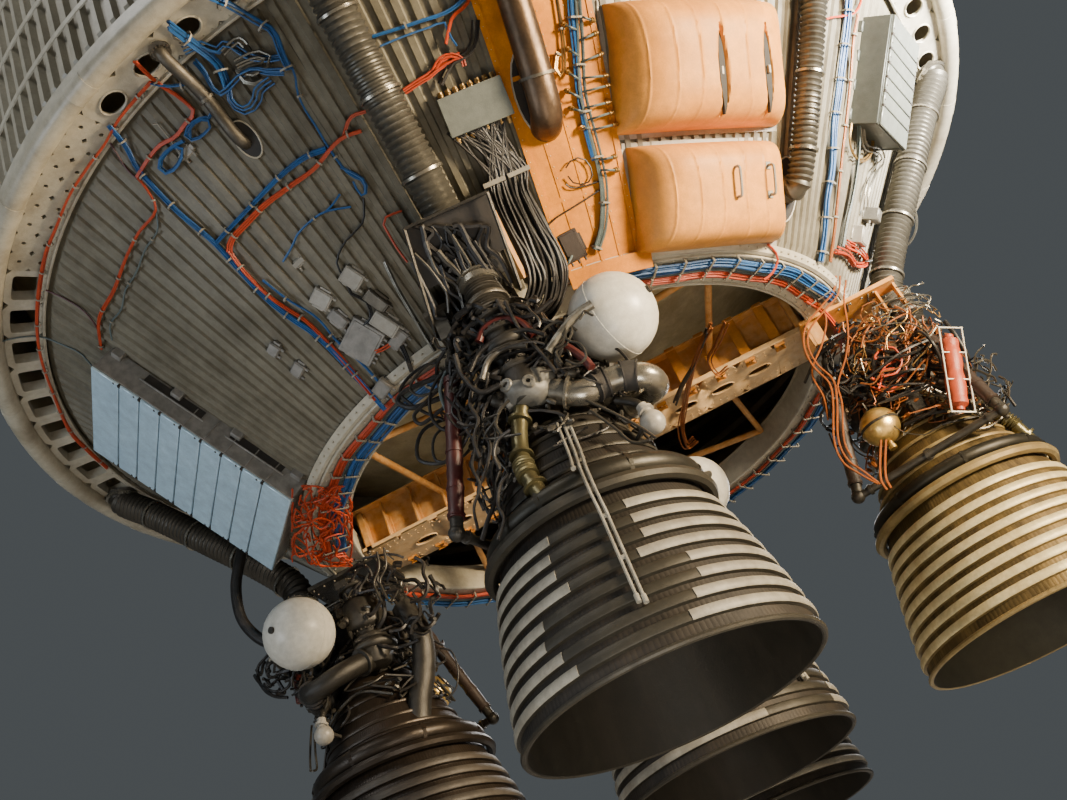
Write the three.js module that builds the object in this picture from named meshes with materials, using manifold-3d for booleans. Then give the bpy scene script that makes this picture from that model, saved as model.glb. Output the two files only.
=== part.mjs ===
// Tail section of a rocket stage: aft skirt, thrust cone, oxidiser tank and five gimballed engines.
// Millimetres, +Z forward (up). The origin is the centre of the forward joint ring, on the stage's axis.
import * as THREE from 'three';
import * as BufferGeometryUtils from 'three/addons/utils/BufferGeometryUtils.js';
import Module from 'manifold-3d';

const wasm = await Module();
wasm.setup();

// Driving dimensions of the stage
const GAP = 0.3;                    // gap between touching pieces
const SKIRT_RADIUS = 5030;          // outside of the skirt's end rings
const SKIN_RADIUS = 4960;           // outside of the skirt's skin
const SKIRT_LENGTH = 2243;          // forward joint ring to the aft flange
const CONE_HEIGHT = 2127;           // lower ring to the aft flange
const RING_Z = -(SKIRT_LENGTH + CONE_HEIGHT);   // plane of the lower ring
const CONE_TOP_RADIUS = 4500;
const CONE_BOTTOM_RADIUS = 2662;
const CONE_WALL = 60;
const RING_INNER = 2332;
const TANK_RADIUS = 4860;
const TANK_UPPER = 3100;            // rise of the upper dome above the joint ring
const TANK_LOWER = 3450;            // depth of the lower dome below it
const TANK_ROWS = 10;               // facets up the tank from pole to pole
const ROUND = 48;                   // sides of the large rings
const SKIRT_STRINGERS = 72;         // every third one of the real skirt
const CONE_STRINGERS = 90;          // every third one of the real cone

// Driving dimensions of one engine, measured from its gimbal centre
const ENGINE_CIRCLE = 2670;         // radius that carries the outer engines
const GIMBAL_DROP = 110;            // gimbal centre below the lower ring
const EXIT_Z = -3078;
const EXIT_RADIUS = 996;
const THROAT_Z = -800;
const THROAT_RADIUS = 205;
const CHAMBER_RADIUS = 250;
const BELL_WALL = 18;
const BELL_SIDES = 16;

// Helpers that make closed geometries
function lathe(profile, sides) {
  const points = profile.map(([r, z]) => new THREE.Vector2(r, z));
  return new THREE.LatheGeometry(points, sides).rotateX(Math.PI / 2);
}

function block(low, high) {
  const size = high.map((value, i) => value - low[i]);
  const middle = high.map((value, i) => (value + low[i]) / 2);
  return new THREE.BoxGeometry(...size).translate(...middle);
}

function rod(start, end, radius, sides = 12, endRadius = radius) {
  const a = new THREE.Vector3(...start);
  const b = new THREE.Vector3(...end);
  const along = b.clone().sub(a);
  const geometry = new THREE.CylinderGeometry(endRadius, radius, along.length(), sides);
  const turn = new THREE.Quaternion().setFromUnitVectors(new THREE.Vector3(0, 1, 0), along.normalize());
  return geometry.applyQuaternion(turn).translate(...a.add(b).multiplyScalar(0.5).toArray());
}

function ball(centre, radius, sides = 16) {
  return new THREE.SphereGeometry(radius, sides, sides / 2).translate(...centre);
}

function pipe(points, radius, sides = 10, steps = 4) {
  const path = new THREE.CatmullRomCurve3(points.map((p) => new THREE.Vector3(...p)));
  const corners = Array.from({ length: sides }, (_, i) => 2 * Math.PI * i / sides);
  const section = new THREE.Shape(corners.map((a) => new THREE.Vector2(radius * Math.cos(a), radius * Math.sin(a))));
  const options = { steps: steps * (points.length - 1), bevelEnabled: false, extrudePath: path };
  return new THREE.ExtrudeGeometry(section, options);
}

function polar(azimuth, radius, z) {
  const angle = THREE.MathUtils.degToRad(azimuth);
  return [radius * Math.sin(angle), -radius * Math.cos(angle), z];
}

// Booleans: each helper takes geometries and gives back one closed geometry
function toSolid(geometry) {
  const plain = geometry.clone();
  plain.deleteAttribute('normal');
  plain.deleteAttribute('uv');
  const merged = BufferGeometryUtils.mergeVertices(plain, 1e-3);
  const vertProperties = new Float32Array(merged.attributes.position.array);
  const triVerts = new Uint32Array(merged.index.array);
  const solid = new wasm.Manifold(new wasm.Mesh({ numProp: 3, vertProperties, triVerts }));
  if (solid.volume() > 0) return solid;
  for (let i = 0; i < triVerts.length; i += 3) {
    [triVerts[i + 1], triVerts[i + 2]] = [triVerts[i + 2], triVerts[i + 1]];
  }
  return new wasm.Manifold(new wasm.Mesh({ numProp: 3, vertProperties, triVerts }));
}

function shape(added, cut = []) {
  let solid = toSolid(added[0]);
  for (const piece of added.slice(1)) solid = solid.add(toSolid(piece));
  for (const piece of cut) solid = solid.subtract(toSolid(piece));
  const mesh = solid.getMesh();
  const geometry = new THREE.BufferGeometry();
  geometry.setAttribute('position', new THREE.BufferAttribute(new Float32Array(mesh.vertProperties), 3));
  geometry.setIndex(Array.from(mesh.triVerts));
  geometry.computeVertexNormals();
  return geometry;
}

// Materials
const finish = {
  paint: [0xb9b5a6, 0.6, 0.1],
  zinc: [0xc98f4e, 0.5, 0.4],
  aluminium: [0xaab4bd, 0.35, 0.8],
  foam: [0xd8cfae, 0.8, 0.0],
  cover: [0xd9ad88, 0.75, 0.0],
  nickel: [0x8b8474, 0.35, 0.8],
  steel: [0x7d7a72, 0.3, 0.9],
  white: [0xe6e2d6, 0.5, 0.0],
  gold: [0xcda45a, 0.3, 0.9],
  red: [0x7a2420, 0.5, 0.1],
};

const stage = new THREE.Group();

function place(group, name, geometry, look) {
  const [color, roughness, metalness] = finish[look];
  const mesh = new THREE.Mesh(geometry, new THREE.MeshStandardMaterial({ color, roughness, metalness }));
  mesh.name = name;
  group.add(mesh);
  return mesh;
}

// Skirt: a skinned cylinder between the forward joint ring and the aft flange
const RING_HEIGHT = 130;
const SKIN_WALL = 50;

place(stage, 'forward_ring', lathe([
  [TANK_RADIUS + GAP, -RING_HEIGHT], [SKIRT_RADIUS, -RING_HEIGHT], [SKIRT_RADIUS, 0],
  [TANK_RADIUS + GAP, 0], [TANK_RADIUS + GAP, -RING_HEIGHT],
], ROUND), 'paint');

// Stringer: a bar of trapezoid section along a round wall, sunk into it. low and high are the radius and height
// of the wall at the bar's ends, where it runs out; foot and crown are its widths, rise its height above the wall.
const STRINGER_SINK = 14;
const STRINGER_RUNOUT = 60;

function stringer({ low, high, foot, crown, rise }, azimuth) {
  const length = Math.hypot(high[0] - low[0], high[1] - low[1]);
  const across = new THREE.Vector3(1, 0, 0);
  const along = new THREE.Vector3(0, (low[0] - high[0]) / length, (high[1] - low[1]) / length);
  const outward = across.clone().cross(along);
  const bar = new THREE.BoxGeometry(foot, length, rise + STRINGER_SINK).translate(0, 0, (rise - STRINGER_SINK) / 2);
  const at = bar.attributes.position;
  for (let k = 0; k < at.count; k += 1) {
    if (at.getZ(k) < 0) continue;
    at.setX(k, at.getX(k) * crown / foot);
    at.setY(k, at.getY(k) - Math.sign(at.getY(k)) * STRINGER_RUNOUT);
  }
  const seat = new THREE.Matrix4().makeBasis(across, along, outward);
  seat.setPosition(0, -(low[0] + high[0]) / 2, (low[1] + high[1]) / 2);
  return bar.applyMatrix4(seat).rotateZ(THREE.MathUtils.degToRad(azimuth));
}

const FLANGE_TOP = -SKIRT_LENGTH + 100;
place(stage, 'aft_skirt', shape([
  lathe([
    [SKIN_RADIUS - SKIN_WALL, FLANGE_TOP + GAP], [SKIN_RADIUS, FLANGE_TOP + GAP],
    [SKIN_RADIUS, -RING_HEIGHT - GAP], [SKIN_RADIUS - SKIN_WALL, -RING_HEIGHT - GAP],
    [SKIN_RADIUS - SKIN_WALL, FLANGE_TOP + GAP],
  ], ROUND),
  ...Array.from({ length: SKIRT_STRINGERS }, (_, i) => stringer({ low: [SKIN_RADIUS, FLANGE_TOP + 30],
    high: [SKIN_RADIUS, -RING_HEIGHT - 30], foot: 75, crown: 43, rise: 52 }, 360 * i / SKIRT_STRINGERS)),
]), 'paint');

// Aft flange: an inner web and a rounded outer tube, in one ring
const WEB_INNER = CONE_TOP_RADIUS + 20;
const flangeProfile = [
  [WEB_INNER, -SKIRT_LENGTH], [4850, -SKIRT_LENGTH], [4880, -SKIRT_LENGTH - 60], [4940, -SKIRT_LENGTH - 85],
  [5000, -SKIRT_LENGTH - 60], [SKIRT_RADIUS, -SKIRT_LENGTH], [SKIRT_RADIUS, FLANGE_TOP],
  [4850, FLANGE_TOP], [4850, -SKIRT_LENGTH + 30], [WEB_INNER, -SKIRT_LENGTH + 30], [WEB_INNER, -SKIRT_LENGTH],
];
place(stage, 'skirt_flange', lathe(flangeProfile, ROUND), 'paint');

// Oxidiser tank: a solid ellipsoid seated in the forward ring
function tankProfile() {
  const points = [];
  for (let i = 0; i <= TANK_ROWS; i += 1) {
    const angle = -Math.PI / 2 + Math.PI * i / TANK_ROWS;
    const rise = angle < 0 ? TANK_LOWER : TANK_UPPER;
    points.push([i % TANK_ROWS === 0 ? 0 : TANK_RADIUS * Math.cos(angle), rise * Math.sin(angle)]);
  }
  return points;
}
place(stage, 'oxidiser_tank', lathe(tankProfile(), ROUND), 'foam');

// Sizes of the thrust cone
const CONE_TOP_Z = -SKIRT_LENGTH + 30;
const CONE_SLOPE = (CONE_TOP_RADIUS - CONE_BOTTOM_RADIUS) / (CONE_TOP_Z - RING_Z);
const coneRadius = (z) => CONE_BOTTOM_RADIUS + CONE_SLOPE * (z - RING_Z);
const RING_WEB = 40;
const coneFoot = RING_Z + RING_WEB + GAP;
// Lower ring: a flat web with an upturned inner lip
place(stage, 'lower_ring', lathe([
  [RING_INNER, RING_Z], [CONE_BOTTOM_RADIUS + 10, RING_Z], [CONE_BOTTOM_RADIUS + 10, RING_Z + RING_WEB],
  [RING_INNER + 30, RING_Z + RING_WEB], [RING_INNER + 30, RING_Z + 260], [RING_INNER, RING_Z + 260],
  [RING_INNER, RING_Z],
], ROUND), 'paint');

// Cruciform beam that carries the centre engine: four box arms out to the lower ring
const BEAM_HALF = 300;
const BEAM_HEIGHT = 460;
const beamReach = RING_INNER * Math.cos(Math.PI / ROUND) - 22;
place(stage, 'engine_beam', shape([
  block([-beamReach, -BEAM_HALF, RING_Z], [beamReach, BEAM_HALF, RING_Z + BEAM_HEIGHT]),
  block([-BEAM_HALF, -beamReach, RING_Z], [BEAM_HALF, beamReach, RING_Z + BEAM_HEIGHT]),
]), 'zinc');

// Thrust pads: the plate under the lower ring that holds an engine's gimbal and its two actuator eyes
const PAD_TOP = GIMBAL_DROP - GAP;
const PAD_BOTTOM = PAD_TOP - 40;
const YOKE_REACH = 80;              // half length of the gimbal cross's arms
const EAR = 30;
const PIN_RADIUS = 30;
const PITCH_Z = 25;                 // the cross's upper arm, held by the pad
const YAW_Z = -85;                  // its lower arm, which holds the engine
const EYE_Z = -130;
// Actuator eyes: place, the way the pin runs, and the actuator's foot on the bell
const eyes = [
  { x: -360, y: -360, along: [0, 1], foot: [-800, -470, -1600] },
  { x: -360, y: 360, along: [1, 0], foot: [-470, 800, -1600] },
];

function thrustPad() {
  const added = [
    block([-465, -290, PAD_BOTTOM], [200, 460, PAD_TOP]),
    block([-465, -460, PAD_BOTTOM], [-270, -280, PAD_TOP]),
    block([YOKE_REACH + GAP, -60, PITCH_Z - 32], [YOKE_REACH + GAP + EAR, 60, PAD_BOTTOM + 1]),
    block([-YOKE_REACH - GAP - EAR, -60, PITCH_Z - 32], [-YOKE_REACH - GAP, 60, PAD_BOTTOM + 1]),
  ];
  for (const { x, y, along: [ax, ay] } of eyes) {
    for (const side of [-1, 1]) {
      const middle = [x + side * 85 * ax, y + side * 85 * ay];
      const half = [10 * ax + 50 * ay, 10 * ay + 50 * ax];
      added.push(block([middle[0] - half[0], middle[1] - half[1], EYE_Z - 40],
        [middle[0] + half[0], middle[1] + half[1], PAD_BOTTOM + 1]));
    }
  }
  return shape(added);
}

function centrePad() {
  return shape([
    block([-200, -200, PAD_BOTTOM], [200, 200, PAD_TOP]),
    block([-120, -120, -100 + GAP], [120, 120, PAD_BOTTOM + 1]),
  ]);
}

function gimbalCross() {
  return shape([
    rod([-YOKE_REACH, 0, PITCH_Z], [YOKE_REACH, 0, PITCH_Z], PIN_RADIUS, 8),
    rod([0, -YOKE_REACH, YAW_Z], [0, YOKE_REACH, YAW_Z], PIN_RADIUS, 8),
    block([-38, -38, YAW_Z], [38, 38, PITCH_Z]),
  ]);
}

// Thrust chamber: dome, chamber, throat and bell, hollow from the injector face down
function bellPoint(t, offset) {
  const bend = { r: 800, z: THROAT_Z - 920 };
  const mix = (a, b, c) => (1 - t) * (1 - t) * a + 2 * t * (1 - t) * b + t * t * c;
  return [mix(THROAT_RADIUS, bend.r, EXIT_RADIUS) + offset, mix(THROAT_Z, bend.z, EXIT_Z)];
}

const MANIFOLD_Z = -1790;
const MANIFOLD_CENTRE = 715;
const MANIFOLD_RADIUS = 88;

// Outside of the thrust chamber from its dome to its exit, grown by an offset
function chamberOutside(grow) {
  const above = [0.15, 0.33].map((t) => bellPoint(t, grow));
  const below = [0.6, 0.8, 1].map((t) => bellPoint(t, grow));
  const manifold = [115, 60, 0, -60, -85].map((degrees) => {
    const angle = THREE.MathUtils.degToRad(degrees);
    const radius = MANIFOLD_RADIUS + grow;
    return [MANIFOLD_CENTRE + radius * Math.cos(angle), MANIFOLD_Z + radius * Math.sin(angle)];
  });
  return [
    [0, -140 + grow], [150, -150 + grow], [235 + grow, -205 + grow], [CHAMBER_RADIUS + grow, -300],
    [CHAMBER_RADIUS + grow, -560], [THROAT_RADIUS + grow, THROAT_Z], ...above, ...manifold, ...below,
  ];
}

// What lies against the chamber is cut to it, 0.3 mm clear
const chamberCutter = () => lathe([...chamberOutside(GAP), [0, EXIT_Z]], BELL_SIDES);

function chamber(outer) {
  const inside = [0.15, 0.33, 0.46, 0.6, 0.8, 1].map((t) => bellPoint(t, -BELL_WALL)).reverse();
  const profile = [
    ...chamberOutside(0), ...inside, [THROAT_RADIUS - BELL_WALL, THROAT_Z],
    [CHAMBER_RADIUS - BELL_WALL, -560], [CHAMBER_RADIUS - BELL_WALL, -300], [0, -300],
  ];
  const added = [lathe(profile, BELL_SIDES)];
  if (outer) {
    for (const side of [-1, 1]) {
      const low = Math.min(side * (YOKE_REACH + GAP), side * (YOKE_REACH + GAP + EAR));
      added.push(block([-50, low, -220], [50, low + EAR, YAW_Z + 32]));
    }
  } else {
    added.push(block([-110, -110, -180], [110, 110, -100]));
  }
  return shape(added);
}

// Pumps stand beside the chamber, each with its inlet at the top and a foot against the chamber
const PUMP = {
  oxidiser: { x: 0, y: -475, top: -240, bottom: -1000, radius: 170 },
  fuel: { x: 440, y: 225, top: -240, bottom: -1040, radius: 170 },
};

function pumpLathe({ x, y, top, bottom, radius }, grow) {
  return lathe([
    [0, bottom - grow], [radius * 0.55 + grow, bottom - grow], [radius * 0.95 + grow, bottom + 90],
    [radius * 0.95 + grow, bottom + 260], [radius * 0.7 + grow, bottom + 300], [radius + grow, bottom + 360],
    [radius + grow, top - 160], [radius * 0.75 + grow, top - 60], [radius * 0.75 + grow, top + grow],
    [0, top + grow],
  ], 10).translate(x, y, 0);
}

function pumpFoot({ x, y, top }) {
  return rod([x, y, top - 280], [x * 0.4, y * 0.4, top - 280], 60, 8);
}

function fuelPump() {
  return shape([pumpLathe(PUMP.fuel, 0), pumpFoot(PUMP.fuel)], [chamberCutter()]);
}

// The oxidiser pump's exhaust runs down to the bell's manifold
function oxidiserPump() {
  const exhaust = pipe([[-60, -480, -940], [-150, -520, -1150], [-200, -560, -1350], [-205, -640, -1540],
    [-165, -700, -1760]], 60, 8, 2);
  return shape([pumpLathe(PUMP.oxidiser, 0), pumpFoot(PUMP.oxidiser), exhaust], [chamberCutter()]);
}

// Crossover duct: hot gas from the fuel pump's turbine round to the oxidiser pump's
function crossover() {
  const path = [[500, 180, -960], [650, 80, -1020], [760, -60, -1080], [790, -200, -1120], [750, -320, -1110],
    [620, -360, -1060], [450, -392, -1050], [331, -436, -1070], [206, -455, -1000], [90, -470, -900]];
  return shape([pipe(path, 93, 8, 1)], [pumpLathe(PUMP.oxidiser, GAP), pumpLathe(PUMP.fuel, GAP)]);
}

const TANK_BALL = { centre: [739, -278, -546], radius: 320 };
const BOTTLE = { centre: [-480, 347, -1138], radius: 170 };

// Gas bottles: the start tank and the small bottle, both on arms from one band round the chamber
const BAND = { low: -400, high: -320, inner: CHAMBER_RADIUS + 0.5, outer: CHAMBER_RADIUS + 28 };

function gasBottles() {
  const middle = (BAND.low + BAND.high) / 2;
  const arm = (x, y, z, radius) => {
    const reach = (BAND.inner + BAND.outer) / 2 / Math.hypot(x, y);
    return rod([x, y, z], [x * reach, y * reach, middle], radius, 6);
  };
  const [tx, ty, tz] = TANK_BALL.centre;
  const [bx, by, bz] = BOTTLE.centre;
  return shape([
    lathe([[BAND.inner, BAND.low], [BAND.outer, BAND.low], [BAND.outer, BAND.high], [BAND.inner, BAND.high],
      [BAND.inner, BAND.low]], BELL_SIDES),
    ball(TANK_BALL.centre, TANK_BALL.radius, 12),
    arm(tx, ty, tz, 34),
    ball(BOTTLE.centre, BOTTLE.radius, 8),
    arm(bx, by, bz, 30),
  ], [lathe([[0, -620], [BAND.inner, -620], [BAND.inner, -300], [0, -300]], BELL_SIDES)]);
}

// Actuator pair: two cylinders from the pad's eyes down to a yoke that stands on the bell
function actuators() {
  const stand = [[-635, 165, -1600], [-520, 135, -1600]];
  const added = [rod(eyes[0].foot, eyes[1].foot, 40, 6), rod(...stand, 60, 8)];
  for (const { x, y, along: [ax, ay], foot } of eyes) {
    added.push(rod(foot, [x, y, EYE_Z], 60, 8, 30));
    added.push(rod([x - 40 * ax, y - 40 * ay, EYE_Z], [x + 40 * ax, y + 40 * ay, EYE_Z], 42, 8));
  }
  return shape(added, [chamberCutter()]);
}

const engines = [
  { letter: 'a', azimuth: -90 },
  { letter: 'b', azimuth: 0 },
  { letter: 'd', azimuth: 90 },
  { letter: 'f', azimuth: 180 },
  { letter: 'c', azimuth: 45, centre: true },
];

for (const { letter, azimuth, centre = false } of engines) {
  const engine = new THREE.Group();
  engine.position.set(...polar(azimuth, centre ? 0 : ENGINE_CIRCLE, RING_Z - GIMBAL_DROP));
  engine.rotation.z = THREE.MathUtils.degToRad(azimuth);
  stage.add(engine);
  const name = (piece) => `engine_${letter}_${piece}`;
  place(engine, `thrust_pad_${letter}`, centre ? centrePad() : thrustPad(), 'zinc');
  place(engine, name('chamber'), chamber(!centre), 'nickel');
  place(engine, name('fuel_pump'), fuelPump(), 'steel');
  place(engine, name('oxidiser_pump'), oxidiserPump(), 'steel');
  place(engine, name('crossover_duct'), crossover(), 'steel');
  place(engine, name('gas_bottles'), gasBottles(), 'white');
  if (centre) continue;
  place(engine, name('actuators'), actuators(), 'red');
  place(engine, `gimbal_cross_${letter}`, gimbalCross(), 'steel');
}

// Boxes and ducts on the cone. A seat is a place on the cone: x runs round it, y up its slope from the foot,
// z out from its surface. What sits there is turned by its twist, and its base is cut to the cone, 0.3 mm clear.
const CONE_SIN = CONE_SLOPE / Math.hypot(1, CONE_SLOPE);
const CONE_COS = 1 / Math.hypot(1, CONE_SLOPE);
const alongCone = (radius) => (radius - CONE_BOTTOM_RADIUS) / CONE_SIN;

const coneCutter = () => lathe([
  [0, RING_Z], [CONE_BOTTOM_RADIUS + GAP / CONE_COS, RING_Z], [CONE_TOP_RADIUS + GAP / CONE_COS, CONE_TOP_Z], [0, CONE_TOP_Z],
], ROUND);

function onCone(geometry, azimuth) {
  const slope = new THREE.Matrix4().makeBasis(
    new THREE.Vector3(1, 0, 0), new THREE.Vector3(0, -CONE_SIN, CONE_COS), new THREE.Vector3(0, -CONE_COS, -CONE_SIN),
  ).setPosition(0, -CONE_BOTTOM_RADIUS, RING_Z);
  return geometry.applyMatrix4(slope).rotateZ(THREE.MathUtils.degToRad(azimuth));
}

// A box with rounded corners in plan and a chamfered outer edge
function coneBox(width, length, depth, corner, edge) {
  const x = width / 2 - edge;
  const y = length / 2 - edge;
  const c = Math.max(corner - edge, 1);
  const plan = new THREE.Shape([[-x + c, -y], [x - c, -y], [x, -y + c], [x, y - c], [x - c, y], [-x + c, y], [-x, y - c],
    [-x, -y + c]].map((p) => new THREE.Vector2(...p)));
  const options = { depth: depth + 150 - 2 * edge, bevelSize: edge, bevelThickness: edge, bevelSegments: 1, steps: 1 };
  return new THREE.ExtrudeGeometry(plan, options).translate(0, 0, edge - 150);
}

// Boxes: name, azimuth, radii of the low and high ends, width, depth, twist, corner, edge, look
const coneBoxes = [
  ['equipment_box_left', -62.2, 2772, 4089, 1440, 210, -9, 10, 6, 'aluminium'],
  ['equipment_box_right', 73.9, 3609, 4254, 720, 285, 8.3, 10, 6, 'aluminium'],
  ['cover_outboard', 37.35, 3284, 3906, 1504, 400, 2.7, 150, 90, 'cover'],
  ['cover_inboard', 37.9, 2700, 3216, 1332, 380, 2.2, 150, 90, 'cover'],
  ['distribution_box', 8.65, 3550, 3760, 490, 150, 0, 8, 4, 'aluminium'],
];
for (const [name, azimuth, low, high, width, depth, twist, corner, edge, look] of coneBoxes) {
  const box = coneBox(width, alongCone(high) - alongCone(low), depth, corner, edge);
  box.rotateZ(THREE.MathUtils.degToRad(twist)).translate(0, (alongCone(low) + alongCone(high)) / 2, 0);
  place(stage, name, shape([onCone(box, azimuth)], [coneCutter()]), look);
}

// Feed ducts of the outer engines: from the aft flange down the cone to a mouth above the pump's inlet
const DUCT_RADIUS = 150;
const flangeFace = (azimuth, radius) => polar(azimuth, radius, -SKIRT_LENGTH - GAP);

function feedDuct(azimuth) {
  const off = DUCT_RADIUS + 70;
  const beside = (radius) => polar(azimuth, radius + off * CONE_COS, RING_Z + (radius - CONE_BOTTOM_RADIUS) / CONE_SLOPE - off * CONE_SIN);
  const mouth = ENGINE_CIRCLE - PUMP.oxidiser.y;
  return pipe([flangeFace(azimuth, 4690), polar(azimuth, 4690, -SKIRT_LENGTH - 120), beside(4230), beside(3700), beside(3250),
    polar(azimuth, mouth + 10, RING_Z + 170), polar(azimuth, mouth, RING_Z - 60)], DUCT_RADIUS, 8, 2);
}
for (const { letter, azimuth, centre } of engines) {
  if (!centre) place(stage, `feed_duct_${letter}`, feedDuct(azimuth), 'nickel');
}

// Lines that end in the cone: name, azimuth, radius of the foot, pipe radius
const coneLines = [
  ['supply_duct', 16, 3430, 125],
  ['vent_duct', 54, 3040, 110],
  ['drain_line', -15.4, 4020, 55],
];
for (const [name, azimuth, foot, radius] of coneLines) {
  const start = alongCone(foot);
  const line = [[0, start, -100], [0, start, radius * 0.6], [0, start + radius * 2, radius * 1.6],
    [0, alongCone(4300), radius * 1.6]].map((p) => new THREE.Vector3(...p));
  const seated = new THREE.BufferGeometry().setFromPoints(line);
  onCone(seated, azimuth);
  const at = seated.attributes.position;
  const points = line.map((_, i) => [at.getX(i), at.getY(i), at.getZ(i)]);
  points.push(polar(azimuth, 4700, -SKIRT_LENGTH - 100), flangeFace(azimuth, 4700));
  place(stage, name, shape([pipe(points, radius, 8, 2)], [coneCutter()]), 'nickel');
}

// Thrust cone: a hollow frustum from the lower ring to the flange's web, with stringers that stop short of
// whatever sits on it. A footprint is an azimuth, a twist and the middle and half size of what sits there.
const STRINGER_CLEAR = 45;
const STRINGER_LEAST = 260;
const footprints = [
  ...coneBoxes.map(([, azimuth, low, high, width, , twist]) => (
    [azimuth, twist, (alongCone(low) + alongCone(high)) / 2, width / 2, (alongCone(high) - alongCone(low)) / 2])),
  ...coneLines.map(([, azimuth, foot, radius]) => [azimuth, 0, alongCone(foot) + 1.5 * radius, radius, 2.5 * radius]),
];

function covered(azimuth, slope) {
  return footprints.some(([middle, twist, along, halfWidth, halfLength]) => {
    const turn = THREE.MathUtils.degToRad(azimuth - middle);
    const radius = CONE_BOTTOM_RADIUS + slope * CONE_SIN;
    const x = radius * Math.sin(turn);
    const y = (radius * Math.cos(turn) - CONE_BOTTOM_RADIUS) * CONE_SIN + slope * CONE_COS * CONE_COS - along;
    const t = THREE.MathUtils.degToRad(twist);
    return Math.abs(x * Math.cos(t) + y * Math.sin(t)) < halfWidth + STRINGER_CLEAR
      && Math.abs(y * Math.cos(t) - x * Math.sin(t)) < halfLength + STRINGER_CLEAR;
  });
}

function coneStringers(azimuth) {
  const onWall = (slope) => [CONE_BOTTOM_RADIUS + slope * CONE_SIN, RING_Z + slope * CONE_COS];
  const bars = [];
  const last = alongCone(CONE_TOP_RADIUS) - 90;
  for (let from = 110, slope = 110; slope <= last; slope += 20) {
    const blocked = covered(azimuth, slope);
    if ((blocked || slope + 20 > last) && slope - from > STRINGER_LEAST) {
      bars.push(stringer({ low: onWall(from), high: onWall(slope - 20), foot: 42, crown: 24, rise: 24 }, azimuth));
    }
    if (blocked) from = slope + 20;
  }
  return bars;
}

place(stage, 'thrust_cone', shape([
  lathe([
    [coneRadius(coneFoot) - CONE_WALL, coneFoot], [coneRadius(coneFoot), coneFoot],
    [CONE_TOP_RADIUS, CONE_TOP_Z], [CONE_TOP_RADIUS + 19.7, CONE_TOP_Z], [CONE_TOP_RADIUS + 19.7, CONE_TOP_Z + 30],
    [CONE_TOP_RADIUS - CONE_WALL, CONE_TOP_Z + 30], [coneRadius(coneFoot) - CONE_WALL, coneFoot],
  ], ROUND),
  ...Array.from({ length: CONE_STRINGERS }, (_, i) => coneStringers(360 * i / CONE_STRINGERS)).flat(),
]), 'paint');

export default stage;
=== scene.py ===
import bmesh
import bpy
import numpy as np
from mathutils import Matrix


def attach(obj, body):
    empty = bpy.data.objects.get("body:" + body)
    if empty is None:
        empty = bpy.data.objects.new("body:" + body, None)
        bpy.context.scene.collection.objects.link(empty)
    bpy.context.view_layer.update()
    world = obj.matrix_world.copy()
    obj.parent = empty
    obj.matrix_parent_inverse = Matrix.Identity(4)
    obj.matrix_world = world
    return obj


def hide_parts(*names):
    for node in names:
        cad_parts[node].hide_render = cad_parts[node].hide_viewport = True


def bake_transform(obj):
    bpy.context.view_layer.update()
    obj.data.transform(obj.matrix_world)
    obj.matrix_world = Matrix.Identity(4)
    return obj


# The look of a rocket stage's tail: skirt, thrust cone, harness, covers and five engines.
# Metres. +Z is forward (up), the origin is the centre of the forward joint ring.
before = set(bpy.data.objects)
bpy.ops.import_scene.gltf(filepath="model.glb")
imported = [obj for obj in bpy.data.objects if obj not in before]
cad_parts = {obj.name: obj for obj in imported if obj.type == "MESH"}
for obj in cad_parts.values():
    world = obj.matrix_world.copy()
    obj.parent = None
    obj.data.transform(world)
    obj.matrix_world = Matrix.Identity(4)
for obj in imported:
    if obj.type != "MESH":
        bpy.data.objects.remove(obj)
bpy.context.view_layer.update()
print("stage: frame loaded")

# Main sizes of the stage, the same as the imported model's
ringZ = -4.370
flangeZ = -2.243
coneFoot = 2.662
coneTop = 4.500
coneSlope = 1.838 / 2.157
coneSin = coneSlope / np.hypot(1, coneSlope)
coneCos = 1 / np.hypot(1, coneSlope)
coneLength = (coneTop - coneFoot) / coneSin
gimbalZ = ringZ - 0.110
engineCircle = 2.670

# The photograph's camera: place, the three directions of its frame, focal length in pixels
photo = {
    "place": np.array([0.63169, -9.87523, -9.53481]),
    "right": np.array([0.88653, 0.29698, -0.35479]),
    "up": np.array([0.45597, -0.43069, 0.77884]),
    "back": np.array([0.07849, -0.85224, -0.51723]),
    "focal": 1182.76,
    "width": 1067,
    "centre": (533.5, 400.0),
}


# makeCamera: a camera that sees the model as the photograph does
def makeCamera():
    data = bpy.data.cameras.new("photoCamera")
    data.sensor_width = 36
    data.lens = photo["focal"] * data.sensor_width / photo["width"]
    data.clip_start = 0.05
    data.clip_end = 200
    camera = bpy.data.objects.new("photoCamera", data)
    bpy.context.scene.collection.objects.link(camera)
    turn = np.eye(4)
    turn[:3, 0], turn[:3, 1], turn[:3, 2] = photo["right"], photo["up"], photo["back"]
    turn[:3, 3] = photo["place"]
    camera.matrix_world = Matrix(turn.tolist())
    bpy.context.scene.camera = camera


makeCamera()
print("stage: camera")


# Places. Azimuth is in degrees from -Y towards +X.

# polar: a point at an azimuth, a radius and a height
def polar(azimuth, radius, z):
    a, radius, z = np.broadcast_arrays(np.radians(azimuth), radius, z)
    return np.stack([radius * np.sin(a), -radius * np.cos(a), z], -1)


# onCone: a point on the cone's outside at a slope distance from its foot, lifted along the outward normal
def onCone(azimuth, slope, lift=0.0):
    radius = coneFoot + slope * coneSin + lift * coneCos
    return polar(azimuth, radius, ringZ + slope * coneCos - lift * coneSin)


# rays: unit-depth directions from the camera through pixels of the 1067 by 800 photograph
def rays(pixels):
    uv = (np.asarray(pixels, float) - photo["centre"]) / photo["focal"]
    return photo["right"] * uv[:, :1] - photo["up"] * uv[:, 1:] - photo["back"]


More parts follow.
